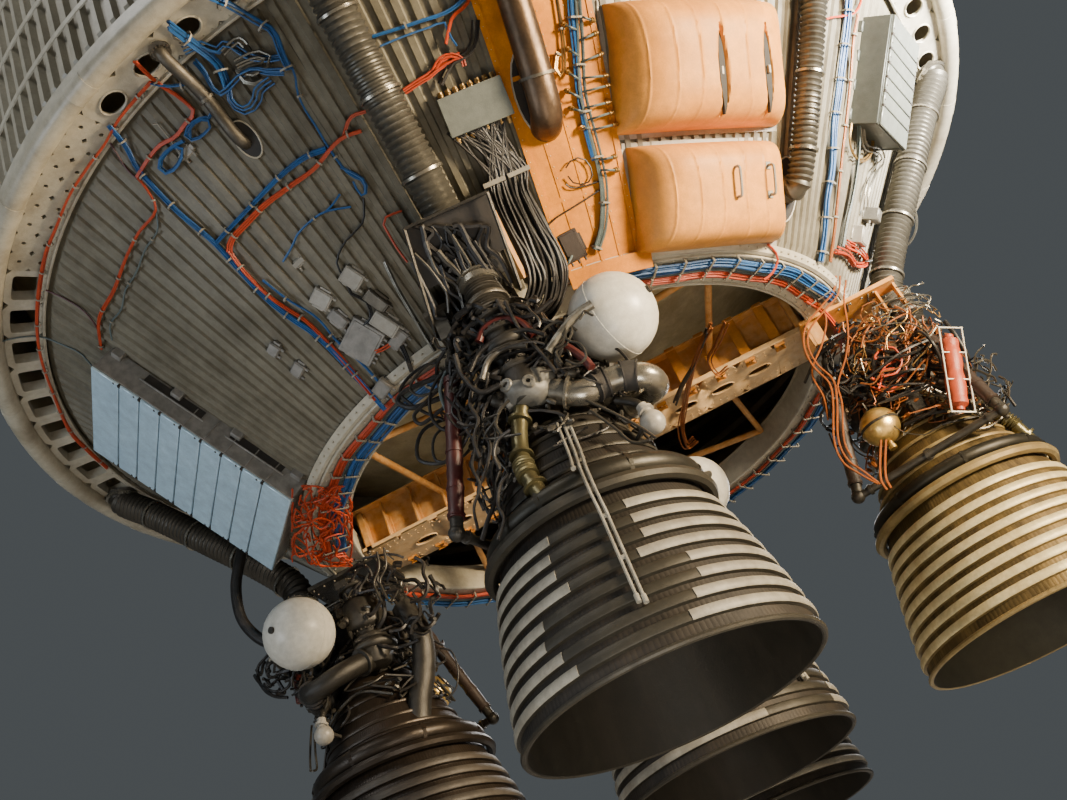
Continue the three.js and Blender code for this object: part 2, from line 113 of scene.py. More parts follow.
# pixelsAtHeight: where those rays meet a level plane
def pixelsAtHeight(pixels, z):
    d, c = rays(pixels), photo["place"]
    return c + d * ((z - c[2]) / d[:, 2])[:, None]


# pixelsOnCone: where those rays first meet the cone, lifted; the root of a quadratic in the distance.
# A ray that passes above the cone's top edge is stopped at the flange instead.
def pixelsOnCone(pixels, lift=0.05):
    d, c = rays(pixels), photo["place"]
    base = coneFoot + lift / coneCos + coneSlope * (c[2] - ringZ)
    a = d[:, 0] ** 2 + d[:, 1] ** 2 - (coneSlope * d[:, 2]) ** 2
    b = 2 * (d[:, 0] * c[0] + d[:, 1] * c[1] - base * coneSlope * d[:, 2])
    e = c[0] ** 2 + c[1] ** 2 - base ** 2
    root = np.sqrt(np.maximum(b * b - 4 * a * e, 0))
    both = np.stack([(-b - root) / (2 * a), (-b + root) / (2 * a)], -1)
    radius = base + coneSlope * both * d[:, 2:]
    both = np.where((both > 0) & (radius > 0), both, np.inf)
    hit = c + d * both.min(1)[:, None]
    level = pixelsAtHeight(pixels, flangeZ - lift)
    return np.where((hit[:, 2] < flangeZ - lift)[:, None], hit, level)


# Shapes. A part is (vertices, quads); parts are stacked and made one mesh.

# gridQuads: the quads of a rows by columns grid, closed round either way if asked
def gridQuads(rows, cols, closeRows=False, closeCols=True):
    i = np.arange(rows if closeRows else rows - 1)[:, None]
    j = np.arange(cols if closeCols else cols - 1)[None, :]
    k, l = (i + 1) % rows, (j + 1) % cols
    return np.stack([i * cols + j, i * cols + l, k * cols + l, k * cols + j], -1).reshape(-1, 4)


# turned: a profile of (radius, height) carried round the z axis; closed makes the profile a loop
def turned(profile, sides=48, closed=False):
    p = np.asarray(profile, float)
    a = np.linspace(0, 360, sides, endpoint=False)[None, :]
    return polar(a, p[:, :1], p[:, 1:]).reshape(-1, 3), gridQuads(len(p), sides, closed)


# circle: angles evenly round a full turn, in radians
def circle(steps):
    return np.linspace(0, 2 * np.pi, steps, endpoint=False)


# ringPoints: points evenly round a circle about the z axis
def ringPoints(radius, count, z=0.0):
    a = np.arange(count) * 2 * np.pi / count
    return np.stack([radius * np.cos(a), radius * np.sin(a), np.full(count, z)], -1)


# arcPoints: points of a circle's arc in a profile's plane
def arcPoints(r, z, radius, start, end, steps=8):
    a = np.radians(np.linspace(start, end, steps))
    return np.stack([r + radius * np.cos(a), z + radius * np.sin(a)], -1)


# hoop: a round bar bent into a ring about the z axis
def hoop(ringRadius, z, barRadius, sides=96, section=10):
    return turned(arcPoints(ringRadius, z, barRadius, 0, 360, section + 1)[:-1], sides, True)


# lofted: closed sections stacked into one body, each end drawn in to its section's middle
def lofted(sections):
    s = np.asarray(sections, float)
    ends = [np.broadcast_to(s[k].mean(0), s[k].shape)[None] for k in (0, -1)]
    s = np.concatenate([ends[0], s, ends[1]])
    return s.reshape(-1, 3), gridQuads(s.shape[0], s.shape[1])


# smooth: a Catmull-Rom curve through points
def smooth(points, steps=8):
    p = np.asarray(points, float)
    p = np.vstack([2 * p[0] - p[1], p, 2 * p[-1] - p[-2]])
    t = np.linspace(0, len(p) - 3, (len(p) - 3) * steps + 1)
    i = np.minimum(t.astype(int), len(p) - 4)
    f = (t - i)[:, None]
    a, b, c, d = p[i], p[i + 1], p[i + 2], p[i + 3]
    second, third = 2 * a - 5 * b + 4 * c - d, 3 * b - a - 3 * c + d
    return 0.5 * (2 * b + (c - a) * f + second * f ** 2 + third * f ** 3)


# lengths: the distance along a path at each of its points
def lengths(path):
    return np.concatenate([[0], np.cumsum(np.linalg.norm(np.diff(path, axis=0), axis=1))])


# pointOn: the points of a path at given distances along it
def pointOn(path, at):
    far = lengths(path)
    return np.stack([np.interp(at, far, path[:, k]) for k in range(3)], -1)


# evenly: a path sampled again at even distances
def evenly(path, count):
    return pointOn(path, np.linspace(0, lengths(path)[-1], count))


# sidesOf: unit directions along a path and two square to it, from the direction that it runs least along
def sidesOf(path):
    along = np.gradient(path, axis=0)
    along /= np.linalg.norm(along, axis=1)[:, None] + 1e-12
    vectors = np.linalg.eigh(along.T @ along)[1]
    first = np.cross(along, vectors[:, 0])
    first /= np.linalg.norm(first, axis=1)[:, None] + 1e-12
    return along, first, np.cross(along, first)


# swept: a round section carried along a path; the radius may change from step to step
def swept(path, radius, sides=10):
    path = np.asarray(path, float)
    first, second = sidesOf(path)[1:]
    a = circle(sides)[:, None]
    r = np.broadcast_to(np.asarray(radius, float), (len(path),))[:, None, None]
    return lofted(path[:, None] + (first[:, None] * np.cos(a) + second[:, None] * np.sin(a)) * r)


# ribbed: a hose whose radius follows a cosine of the distance along it
def ribbed(path, radius, depth, pitch, sides=20, perRib=4):
    path = evenly(path, max(int(lengths(path)[-1] / pitch * perRib), 4))
    wave = np.cos(2 * np.pi * lengths(path) / pitch)
    return swept(path, radius - depth / 2 + depth / 2 * wave, sides)


# block: a box with chamfered edges between two corners, as four sections from end to end
def block(low, high, chamfer=0.002):
    low, high = np.asarray(low, float), np.asarray(high, float)
    c = min(chamfer, 0.4 * (high - low).min())
    y0, y1, z0, z1 = low[1], high[1], low[2], high[2]
    outer = np.array([(y0, z0 + c), (y0 + c, z0), (y1 - c, z0), (y1, z0 + c),
                      (y1, z1 - c), (y1 - c, z1), (y0 + c, z1), (y0, z1 - c)])
    inner = np.clip(outer, (y0 + c, z0 + c), (y1 - c, z1 - c))
    rows = [(low[0], inner), (low[0] + c, outer), (high[0] - c, outer), (high[0], inner)]
    return lofted([np.column_stack([np.full(8, x), ring]) for x, ring in rows])


# slab: a block with equal halves about the z axis, between two heights
def slab(halfX, halfY, low, high, chamfer):
    return block((-halfX, -halfY, low), (halfX, halfY, high), chamfer)


# moved: a part turned by three direction columns and put at a place
def moved(part, place=(0, 0, 0), columns=np.eye(3)):
    return part[0] @ np.asarray(columns, float).T + np.asarray(place, float), part[1]


# copies: one part at many places; columns is one set of directions for each place
def copies(part, places, columns=None):
    verts, quads = part
    places = np.asarray(places, float)
    many = np.repeat(verts[None], len(places), 0)
    if columns is not None:
        many = np.einsum("kij,knj->kni", np.asarray(columns, float), many)
    many = many + places[:, None]
    faces = quads[None] + (np.arange(len(places)) * len(verts))[:, None, None]
    return many.reshape(-1, 3), faces.reshape(-1, 4)


# facing: direction columns whose z runs along given directions
def facing(directions, hint=(0.12, 0.21, 0.97)):
    z = np.atleast_2d(np.asarray(directions, float))
    z = z / np.linalg.norm(z, axis=1)[:, None]
    x = np.cross(np.broadcast_to(hint, z.shape), z)
    x /= np.linalg.norm(x, axis=1)[:, None] + 1e-9
    return np.stack([x, np.cross(z, x), z], -1)


# rod: a straight round bar between two points
def rod(start, end, radius, sides=12):
    start, end = np.asarray(start, float), np.asarray(end, float)
    length = np.linalg.norm(end - start)
    return moved(turned([(0, 0), (radius, 0), (radius, length), (0, length)], sides), start,
                 facing(end - start)[0])


# ball: a sphere as rings of latitude
def ball(centre, radius, sides=24):
    return moved(turned(arcPoints(0, 0, radius, -90, 90, sides // 2 + 1), sides), centre)


# roundCopies: a part, drawn at azimuth 0 with +X round and -Y out, at many azimuths
def roundCopies(part, azimuths):
    a = np.radians(np.asarray(azimuths, float))
    zero, one = np.zeros_like(a), np.ones_like(a)
    rows = ((np.cos(a), -np.sin(a), zero), (np.sin(a), np.cos(a), zero), (zero, zero, one))
    turns = np.stack([np.stack(row, -1) for row in rows], 1)
    return copies(part, np.zeros((len(a), 3)), turns)


# bolts: six-sided heads at places, standing along a direction
def bolts(places, direction, radius=0.012, height=0.010):
    head = turned([(0, 0), (radius, 0), (radius * 0.88, height), (0, height)], 6)
    return copies(head, places, np.repeat(facing(direction), len(places), 0))


# coneColumns: directions at an azimuth of the cone: round it, up its slope, out from it, turned by a twist
def coneColumns(azimuth, twist=0.0):
    a, t = np.radians(azimuth), np.radians(twist)
    across = np.array([np.cos(a), np.sin(a), 0])
    out = np.array([np.sin(a), -np.cos(a), 0])
    slope = out * coneSin + np.array([0, 0, coneCos])
    normal = out * coneCos - np.array([0, 0, coneSin])
    ahead, up = across * np.cos(t) + slope * np.sin(t), slope * np.cos(t) - across * np.sin(t)
    return np.stack([ahead, up, normal], -1)


# seated: parts drawn with x round the cone, y up its slope and z out, put on the cone
def seated(parts, azimuth, slope, twist=0.0, lift=0.0):
    columns, place = coneColumns(azimuth, twist), onCone(azimuth, slope, lift)
    return [moved(part, place, columns) for part in parts]


# holedPlates: rectangles round a superellipse hole, as closed rings; the hole's points are |x|^p + |y|^p = 1
def holedPlates(centres, halves, holes, low, high, power=2.0, steps=20):
    a = circle(steps)
    c, s = np.cos(a), np.sin(a)
    edge = np.stack([c, s], -1) / np.maximum(np.abs(c), np.abs(s))[:, None]
    rim = np.stack([np.sign(c) * np.abs(c) ** (2 / power), np.sign(s) * np.abs(s) ** (2 / power)], -1)
    centres, halves, holes = (np.asarray(v, float).reshape(-1, 1, 2) for v in (centres, halves, holes))
    border, hole = centres + halves * edge, centres + holes * rim
    loops = [(border, low), (hole, low), (hole, high), (border, high)]
    shape = [np.concatenate([xy, np.full(xy.shape[:2] + (1,), z)], -1) for xy, z in loops]
    verts = np.stack(shape, 1)
    quads = gridQuads(4, steps, True, True)
    faces = quads[None] + (np.arange(len(verts)) * 4 * steps)[:, None, None]
    return verts.reshape(-1, 3), faces.reshape(-1, 4)


# bundle: cables beside each other along a route; each keeps an offset that wanders by slow sines
def bundle(route, count, radius, spread, seed, flat=1.0, sides=5):
    rng = np.random.default_rng(seed)
    first, second = sidesOf(route)[1:]
    far = lengths(route)[:, None]
    parts = []
    for k in range(count):
        turn, reach = rng.uniform(0, 2 * np.pi), spread * np.sqrt((k + 0.5) / count)
        phase, pace = rng.uniform(0, 6.3, 2), rng.uniform(1.2, 3.2, 2)
        u = reach * np.cos(turn) + 0.3 * spread * np.sin(far * pace[0] + phase[0])
        v = flat * (reach * np.sin(turn) + 0.3 * spread * np.sin(far * pace[1] + phase[1]))
        parts.append(swept(route + first * u + second * v, radius, sides))
    return parts


# clampsOn: short bands round a bundle, evenly spaced along it
def clampsOn(route, spacing, radius, width=0.014, thick=0.003):
    far = lengths(route)
    at = np.arange(spacing / 2, far[-1], spacing)
    along, first, second = sidesOf(route)
    pick = np.clip(np.searchsorted(far, at), 0, len(route) - 1)
    loop = [(radius, -width / 2), (radius + thick, -width / 2), (radius + thick, width / 2),
            (radius, width / 2)]
    return copies(turned(loop, 7, True), pointOn(route, at),
                  np.stack([first[pick], second[pick], along[pick]], -1))


# drift: a number that starts in one range and wanders by steps from another, the sum of the steps so far
def drift(rng, start, step, count):
    return rng.uniform(*start) + np.cumsum(rng.uniform(*step, count))


# gather: many parts as one list of points and faces
def gather(parts):
    counts = np.cumsum([0] + [len(v) for v, f in parts])
    owner = np.repeat(np.arange(len(parts)), np.diff(counts))
    return np.vstack([v for v, f in parts]), np.vstack([f + c for (v, f), c in zip(parts, counts)]), owner


# piece: one named mesh from parts, its doubles merged inside each part, riding on a body.
# local keeps the points before columns and place are applied, as an attribute for the material.
def piece(name, parts, look, body="structure", replaces=(), place=None, columns=None):
    verts, faces, owner = gather(parts)
    key = np.column_stack([np.round(verts * 20000).astype(np.int64), owner])
    pick, where = np.unique(key, axis=0, return_index=True, return_inverse=True)[1:]
    faces = where.reshape(-1)[faces]
    keep = faces != np.roll(faces, -1, 1)
    keep &= (keep.sum(1) > 2)[:, None]
    total = keep.sum(1)
    total = total[total > 0]
    local = verts[pick]
    world = local if columns is None else local @ np.asarray(columns).T + place
    mesh = bpy.data.meshes.new(name)
    mesh.vertices.add(len(world))
    mesh.vertices.foreach_set("co", world.astype(np.float32).ravel())
    mesh.loops.add(int(total.sum()))
    mesh.loops.foreach_set("vertex_index", faces[keep].astype(np.int32))
    mesh.polygons.add(len(total))
    mesh.polygons.foreach_set("loop_start", np.concatenate([[0], np.cumsum(total)[:-1]]).astype(np.int32))
    if columns is not None:
        kept = mesh.attributes.new("local", "FLOAT_VECTOR", "POINT")
        kept.data.foreach_set("vector", local.astype(np.float32).ravel())
    mesh.update(calc_edges=True)
    mesh.validate()
    outward = bmesh.new()
    outward.from_mesh(mesh)
    bmesh.ops.recalc_face_normals(outward, faces=outward.faces)
    outward.to_mesh(mesh)
    outward.free()
    mesh.shade_smooth()
    mesh.set_sharp_from_angle(angle=np.radians(40))
    obj = bpy.data.objects.new(name, mesh)
    bpy.context.scene.collection.objects.link(obj)
    mesh.materials.append(materials[look])
    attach(obj, body)
    if replaces:
        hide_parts(*replaces)
    return obj


# Shader helpers and the node groups that the materials share

# put: one shader node, its inputs filled or linked; gives back its outputs
def put(tree, kind, inputs=None, **settings):
    made = tree.nodes.new(kind)
    for key, value in settings.items():
        setattr(made, key, value)
    for key, value in (inputs or {}).items():
        if isinstance(value, bpy.types.NodeSocket):
            tree.links.new(value, made.inputs[key])
        else:
            made.inputs[key].default_value = value
    return made.outputs


# maths: a number from two numbers
def maths(tree, operation, a, b=0.0, clamp=False):
    return put(tree, "ShaderNodeMath", {0: a, 1: b}, operation=operation, use_clamp=clamp)[0]


# spread: a value moved in a straight line from one range to another
def spread(tree, value, low, high, newLow=0.0, newHigh=1.0):
    return put(tree, "ShaderNodeMapRange", {0: value, 1: low, 2: high, 3: newLow, 4: newHigh})[0]


# blendColours: two colours mixed, or multiplied, by a factor
def blendColours(tree, factor, a, b, way="MIX"):
    return put(tree, "ShaderNodeMix", {0: factor, 6: a, 7: b}, data_type="RGBA", blend_type=way)[2]


# noise: a fractal noise value between 0 and 1
def noise(tree, vector, scale, detail=3.0, rough=0.55):
    values = {"Vector": vector, "Scale": scale, "Detail": detail, "Roughness": rough}
    return put(tree, "ShaderNodeTexNoise", values)[0]


# newGroup: an empty node group with its sockets; gives back the tree, its inputs and its outputs
def newGroup(name, inputs, outputs):
    tree = bpy.data.node_groups.new(name, "ShaderNodeTree")
    for label, kind, value in inputs:
        socket = tree.interface.new_socket(label, in_out="INPUT", socket_type="NodeSocket" + kind)
        if value is not None:
            socket.default_value = value
    for label, kind in outputs:
        tree.interface.new_socket(label, in_out="OUTPUT", socket_type="NodeSocket" + kind)
    return tree, tree.nodes.new("NodeGroupInput").outputs, tree.nodes.new("NodeGroupOutput").inputs


# makeAgedSurface: broad stains, finer mottling and a fine grain over a base colour
def makeAgedSurface():
    tree, into, out = newGroup("agedSurface", [
        ("Vector", "Vector", None), ("Base", "Color", None), ("Stain", "Color", None),
        ("Amount", "Float", 0.5), ("Scale", "Float", 1.0), ("Grain", "Float", 0.3)],
        [("Color", "Color"), ("Wear", "Float"), ("Height", "Float")])
    broad = noise(tree, into["Vector"], into["Scale"], 8.0, 0.62)
    fine = noise(tree, into["Vector"], maths(tree, "MULTIPLY", into["Scale"], 7.0), 5.0, 0.6)
    speck = noise(tree, into["Vector"], maths(tree, "MULTIPLY", into["Scale"], 55.0), 2.0)
    mask = maths(tree, "MULTIPLY", spread(tree, broad, 0.44, 0.68), into["Amount"], True)
    colour = blendColours(tree, mask, into["Base"], into["Stain"])
    colour = blendColours(tree, 1.0, colour, spread(tree, fine, 0.25, 0.75, 0.80, 1.12), "MULTIPLY")
    colour = blendColours(tree, 1.0, colour, spread(tree, speck, 0.3, 0.7, 0.93, 1.05), "MULTIPLY")
    grain = maths(tree, "MULTIPLY", speck, into["Grain"])
    tree.links.new(colour, out["Color"])
    wear = maths(tree, "ADD", maths(tree, "MULTIPLY", mask, 0.6), maths(tree, "MULTIPLY", fine, 0.5), True)
    tree.links.new(wear, out["Wear"])
    coarse = maths(tree, "MULTIPLY", fine, maths(tree, "MULTIPLY", into["Grain"], 1.5))
    tree.links.new(maths(tree, "ADD", grain, coarse), out["Height"])
    return tree


# makeEdgeWear: raised edges, found by the surface's pointiness, broken up by noise
def makeEdgeWear():
    tree, into, out = newGroup("edgeWear", [("Vector", "Vector", None), ("Amount", "Float", 0.5)],
                               [("Mask", "Float")])
    point = put(tree, "ShaderNodeNewGeometry")["Pointiness"]
    rough = spread(tree, noise(tree, into["Vector"], 14.0, 4.0), 0.35, 0.65, 0.2, 1.0)
    worn = maths(tree, "MULTIPLY", spread(tree, point, 0.51, 0.58), rough)
    tree.links.new(maths(tree, "MULTIPLY", worn, into["Amount"], True), out["Mask"])
    return tree


# makeTubeLines: ridges side by side round the local z axis, the absolute sine of the angle times Count
def makeTubeLines():
    tree, into, out = newGroup("tubeLines", [("Vector", "Vector", None), ("Count", "Float", 180.0)],
                               [("Height", "Float")])
    axes = put(tree, "ShaderNodeSeparateXYZ", {0: into["Vector"]})
    angle = maths(tree, "ARCTAN2", axes[0], axes[1])
    wave = maths(tree, "SINE", maths(tree, "MULTIPLY", angle, into["Count"]))
    tree.links.new(maths(tree, "ABSOLUTE", wave), out["Height"])
    return tree


# makeStreaks: stains that run along the local z axis
def makeStreaks():
    tree, into, out = newGroup("streaks", [("Vector", "Vector", None), ("Scale", "Float", 4.0)],
                               [("Mask", "Float")])
    stretched = put(tree, "ShaderNodeVectorMath", {0: into["Vector"], 1: (1.0, 1.0, 0.07)},
                    operation="MULTIPLY")[0]
    tree.links.new(spread(tree, noise(tree, stretched, into["Scale"], 6.0, 0.65), 0.46, 0.66), out["Mask"])
    return tree


groups = {"aged": makeAgedSurface(), "edge": makeEdgeWear(), "tubes": makeTubeLines(),
          "streaks": makeStreaks()}

# Finishes. base and stain are colours, amount how much is stained, scale the stains' size (1/m),
# grain the fine bump, rough the lowest and highest roughness, metal the metallic share.
# edge is a worn edge's colour, streak a colour that runs down, tubes a count of ridges, shine the
# specular level. usualLook holds the values that a row leaves out.
usualLook = {"amount": 0.6, "scale": 9.0, "grain": 0.3, "metal": 0.0, "shine": 0.5}
looks = {
    "conePaint": {"slot": "paint", "base": (0.175, 0.159, 0.116), "stain": (0.0975, 0.0867, 0.0598),
                  "amount": 0.55, "scale": 2.4, "grain": 0.4, "shine": 0.35, "rough": (0.42, 0.68),
                  "streak": (0.0699, 0.0573, 0.0358)},
    "innerPaint": {"slot": "paint", "base": (0.160, 0.152, 0.128), "stain": (0.068, 0.06, 0.048),
                   "amount": 0.7, "scale": 1.6, "grain": 0.4, "rough": (0.5, 0.8)},
    "skirtPaint": {"slot": "paint", "base": (0.360, 0.331, 0.256), "stain": (0.194, 0.166, 0.111),
                   "scale": 0.9, "rough": (0.35, 0.6), "streak": (0.216, 0.187, 0.124)},
    "rimPaint": {"slot": "paint", "base": (0.420, 0.385, 0.296), "stain": (0.210, 0.171, 0.108),
                 "scale": 2.2, "rough": (0.3, 0.55), "edge": (0.560, 0.532, 0.444)},
    "amber": {"slot": "primer", "base": (0.66, 0.235, 0.012), "stain": (0.36, 0.115, 0.010), "scale": 2.0,
              "shine": 0.2, "rough": (0.35, 0.6), "streak": (0.34, 0.12, 0.02)},
    "beamPrimer": {"slot": "primer", "base": (0.510, 0.204, 0.0306), "stain": (0.255, 0.106, 0.0272),
                   "amount": 0.75, "scale": 2.6, "grain": 0.4, "shine": 0.25, "rough": (0.4, 0.65),
                   "edge": (0.637, 0.449, 0.218)},
    "beamPale": {"slot": "paint", "base": (0.52, 0.31, 0.12), "stain": (0.34, 0.22, 0.10), "amount": 0.7,
                 "scale": 3.0, "rough": (0.4, 0.6), "edge": (0.66, 0.52, 0.32)},
    "panel": {"slot": "aluminium", "base": (0.52, 0.70, 0.82), "stain": (0.42, 0.57, 0.68), "amount": 0.5,
              "scale": 1.4, "grain": 0.15, "rough": (0.35, 0.55), "metal": 0.25},
    "boxGrey": {"slot": "aluminium", "base": (0.170, 0.162, 0.145), "stain": (0.111, 0.102, 0.085),
                "amount": 0.7, "scale": 3.0, "rough": (0.4, 0.65), "metal": 0.2,
                "edge": (0.408, 0.391, 0.357)},
    # a darker, greener copy of the box's aluminium, as painted shade on the right box's body
    "boxPaintedShade": {"slot": "aluminium", "base": (0.075, 0.082, 0.070), "stain": (0.050, 0.055, 0.046),
                 "scale": 2.0, "grain": 0.2, "rough": (0.4, 0.6), "metal": 0.25},
    "boxPale": {"slot": "aluminium", "base": (0.17, 0.185, 0.165), "stain": (0.12, 0.13, 0.11), "scale": 2.0,
                "grain": 0.2, "rough": (0.35, 0.55), "metal": 0.25},
    "plate": {"slot": "aluminium", "base": (0.330, 0.312, 0.268), "stain": (0.240, 0.216, 0.175),
              "amount": 0.5, "scale": 3.0, "grain": 0.15, "rough": (0.35, 0.55), "metal": 0.1},
    "cover": {"slot": "cover_shell", "base": (0.72, 0.315, 0.058), "stain": (0.50, 0.190, 0.030),
              "amount": 0.65, "scale": 1.5, "grain": 0.25, "shine": 0.2, "rough": (0.38, 0.6),
              "streak": (0.48, 0.215, 0.060)},
    # dark: near-black, for dark parts, and as painted shade filling openings, slots, holes and the duct
    # frame's hollow
    "dark": {"slot": "cast_metal", "base": (0.018, 0.016, 0.014), "stain": (0.05, 0.04, 0.03), "scale": 8.0,
             "rough": (0.6, 0.85)},
    "nickel": {"slot": "nickel", "base": (0.021, 0.0168, 0.0118), "stain": (0.0092, 0.0071, 0.005),
               "amount": 0.8, "scale": 3.2, "grain": 0.2, "rough": (0.5, 0.75), "metal": 0.4,
               "streak": (0.0357, 0.0277, 0.0189), "tubes": 90},
    "nickelBand": {"slot": "nickel", "base": (0.245, 0.231, 0.187), "stain": (0.108, 0.0955, 0.072),
                   "amount": 0.75, "scale": 4.0, "grain": 0.35, "rough": (0.5, 0.7), "metal": 0.12,
                   "streak": (0.122, 0.106, 0.0792)},
    "nickelBell": {"slot": "nickel", "base": (0.0268, 0.0242, 0.0166), "stain": (0.01, 0.0085, 0.0053),
                   "amount": 0.75, "scale": 3.0, "grain": 0.25, "rough": (0.36, 0.58), "metal": 0.55,
                   "streak": (0.011, 0.0089, 0.0053)},
    "goldBell": {"slot": "nickel", "base": (0.270, 0.207, 0.0891), "stain": (0.171, 0.119, 0.0446),
                 "amount": 0.75, "scale": 3.4, "rough": (0.4, 0.62), "metal": 0.45,
                 "streak": (0.126, 0.0838, 0.0324)},
    "goldBand": {"slot": "nickel", "base": (0.609, 0.536, 0.313), "stain": (0.403, 0.317, 0.151),
                 "amount": 0.7, "scale": 4.0, "grain": 0.35, "rough": (0.42, 0.62), "metal": 0.3,
                 "streak": (0.304, 0.231, 0.104)},
    "goldTube": {"slot": "nickel", "base": (0.078, 0.0528, 0.0162), "stain": (0.033, 0.0204, 0.0076),
                 "amount": 0.8, "scale": 3.2, "grain": 0.2, "rough": (0.45, 0.7), "metal": 0.5,
                 "streak": (0.276, 0.186, 0.0648), "tubes": 90},
    "bronze": {"slot": "cast_metal", "base": (0.119, 0.0774, 0.0476), "stain": (0.0416, 0.0298, 0.0208),
               "amount": 0.75, "scale": 5.0, "rough": (0.28, 0.5), "metal": 0.75,
               "edge": (0.268, 0.190, 0.119)},
    "cast": {"slot": "cast_metal", "base": (0.102, 0.09, 0.0712), "stain": (0.042, 0.036, 0.0256),
             "amount": 0.75, "scale": 6.0, "grain": 0.5, "rough": (0.32, 0.6), "metal": 0.7,
             "edge": (0.252, 0.228, 0.182)},
    "paleCast": {"slot": "cast_metal", "base": (0.151, 0.144, 0.122), "stain": (0.072, 0.0684, 0.0559),
                 "scale": 6.0, "grain": 0.4, "rough": (0.34, 0.55), "metal": 0.35,
                 "edge": (0.288, 0.277, 0.244)},
    "steel": {"slot": "steel_duct", "base": (0.306, 0.285, 0.235), "stain": (0.145, 0.123, 0.0866),
              "amount": 0.65, "scale": 5.0, "grain": 0.15, "rough": (0.2, 0.42), "metal": 0.8},
    "olive": {"slot": "steel_duct", "base": (0.130, 0.114, 0.0553), "stain": (0.0585, 0.0488, 0.0228),
              "scale": 6.0, "grain": 0.15, "rough": (0.25, 0.45), "metal": 0.7},
    "hose": {"slot": "ribbed_duct", "base": (0.110, 0.103, 0.0832), "stain": (0.0484, 0.0431, 0.032),
             "amount": 0.7, "scale": 4.0, "grain": 0.2, "rough": (0.32, 0.55), "metal": 0.55},
    "white": {"slot": "white_tank", "base": (0.576, 0.562, 0.496), "stain": (0.475, 0.446, 0.363),
              "amount": 0.5, "scale": 2.5, "grain": 0.12, "rough": (0.3, 0.48)},
    "brass": {"slot": "brass_bottle", "base": (0.80, 0.55, 0.18), "stain": (0.52, 0.32, 0.10), "scale": 7.0,
              "grain": 0.15, "rough": (0.24, 0.42), "metal": 0.85},
    "red": {"slot": "red_cover", "base": (0.068, 0.0093, 0.0068), "stain": (0.0298, 0.0059, 0.0043),
            "scale": 5.0, "grain": 0.25, "rough": (0.35, 0.6)},
    "foam": {"slot": "foam", "base": (0.66, 0.58, 0.37), "stain": (0.45, 0.36, 0.19), "amount": 0.8,
             "scale": 0.8, "grain": 1.0, "rough": (0.75, 0.95), "streak": (0.40, 0.31, 0.16)},
    "blue": {"slot": "blue_cable", "base": (0.014, 0.095, 0.28), "stain": (0.010, 0.045, 0.12),
             "rough": (0.35, 0.6)},
    "orange": {"slot": "orange_cable", "base": (0.450, 0.0502, 0.0115), "stain": (0.270, 0.0284, 0.0086),
               "rough": (0.35, 0.6)},
    "black": {"slot": "black_cable", "base": (0.0105, 0.0097, 0.009), "stain": (0.0375, 0.0315, 0.0255),
              "amount": 0.5, "shine": 0.4, "rough": (0.3, 0.6)},
    "grey": {"slot": "black_cable", "base": (0.0975, 0.128, 0.128), "stain": (0.045, 0.06, 0.06),
             "rough": (0.35, 0.6)},
    "tie": {"slot": "aluminium", "base": (0.270, 0.247, 0.196), "stain": (0.210, 0.188, 0.146),
            "amount": 0.5, "grain": 0.2, "rough": (0.35, 0.55)},
    "fitting": {"slot": "brass_bottle", "base": (0.425, 0.266, 0.0939), "stain": (0.221, 0.129, 0.0433),
                "scale": 12.0, "grain": 0.2, "rough": (0.25, 0.45), "metal": 0.8},
    "copper": {"slot": "orange_cable", "base": (0.261, 0.081, 0.0164), "stain": (0.117, 0.034, 0.0082),
               "rough": (0.3, 0.55), "metal": 0.3},
    "redPale": {"slot": "red_cover", "base": (0.36, 0.056, 0.020), "stain": (0.20, 0.030, 0.012),
                "amount": 0.5, "scale": 6.0, "rough": (0.35, 0.6)},
    "bandDark": {"slot": "nickel", "base": (0.0331, 0.029, 0.0193), "stain": (0.0142, 0.012, 0.0075),
                 "amount": 0.75, "scale": 4.0, "rough": (0.45, 0.7), "metal": 0.4,
                 "streak": (0.0173, 0.0142, 0.0086)},
    "bronzeCap": {"slot": "nickel", "base": (0.075, 0.065, 0.0525), "stain": (0.03, 0.024, 0.0175),
                  "amount": 0.75, "scale": 4.0, "rough": (0.45, 0.7), "metal": 0.3,
                  "streak": (0.05, 0.0375, 0.025)},
    "darkCover": {"slot": "red_cover", "base": (0.0292, 0.0182, 0.013), "stain": (0.013, 0.0091, 0.0065),
                  "scale": 6.0, "rough": (0.4, 0.65)},
    "rimPlain": {"slot": "paint", "base": (0.420, 0.385, 0.296), "stain": (0.210, 0.171, 0.108),
                 "scale": 2.2, "rough": (0.3, 0.55)},
    # the hose finish darkened as painted shade, for the duct under the left box and the bellows
    "hosePaintedShade": {"slot": "ribbed_duct", "base": (0.063, 0.057, 0.0456), "stain": (0.027, 0.0228, 0.0171),
                 "amount": 0.7, "scale": 4.0, "grain": 0.2, "rough": (0.36, 0.6), "metal": 0.5},
    "bronzeBell": {"slot": "nickel", "base": (0.025, 0.018, 0.0125), "stain": (0.012, 0.009, 0.0065),
                   "amount": 0.8, "scale": 3.2, "grain": 0.2, "rough": (0.3, 0.55), "metal": 0.5,
                   "streak": (0.0425, 0.031, 0.021), "tubes": 90},
    "bronzeBand": {"slot": "nickel", "base": (0.04, 0.031, 0.0225), "stain": (0.018, 0.014, 0.01),
                   "amount": 0.75, "scale": 4.0, "rough": (0.28, 0.5), "metal": 0.65,
                   "streak": (0.025, 0.018, 0.013)},
    "liner": {"slot": "nickel", "base": (0.015, 0.013, 0.0081), "stain": (0.0275, 0.023, 0.0157),
              "amount": 0.7, "scale": 1.6, "rough": (0.5, 0.75), "metal": 0.4,
              "streak": (0.03, 0.025, 0.0171)},
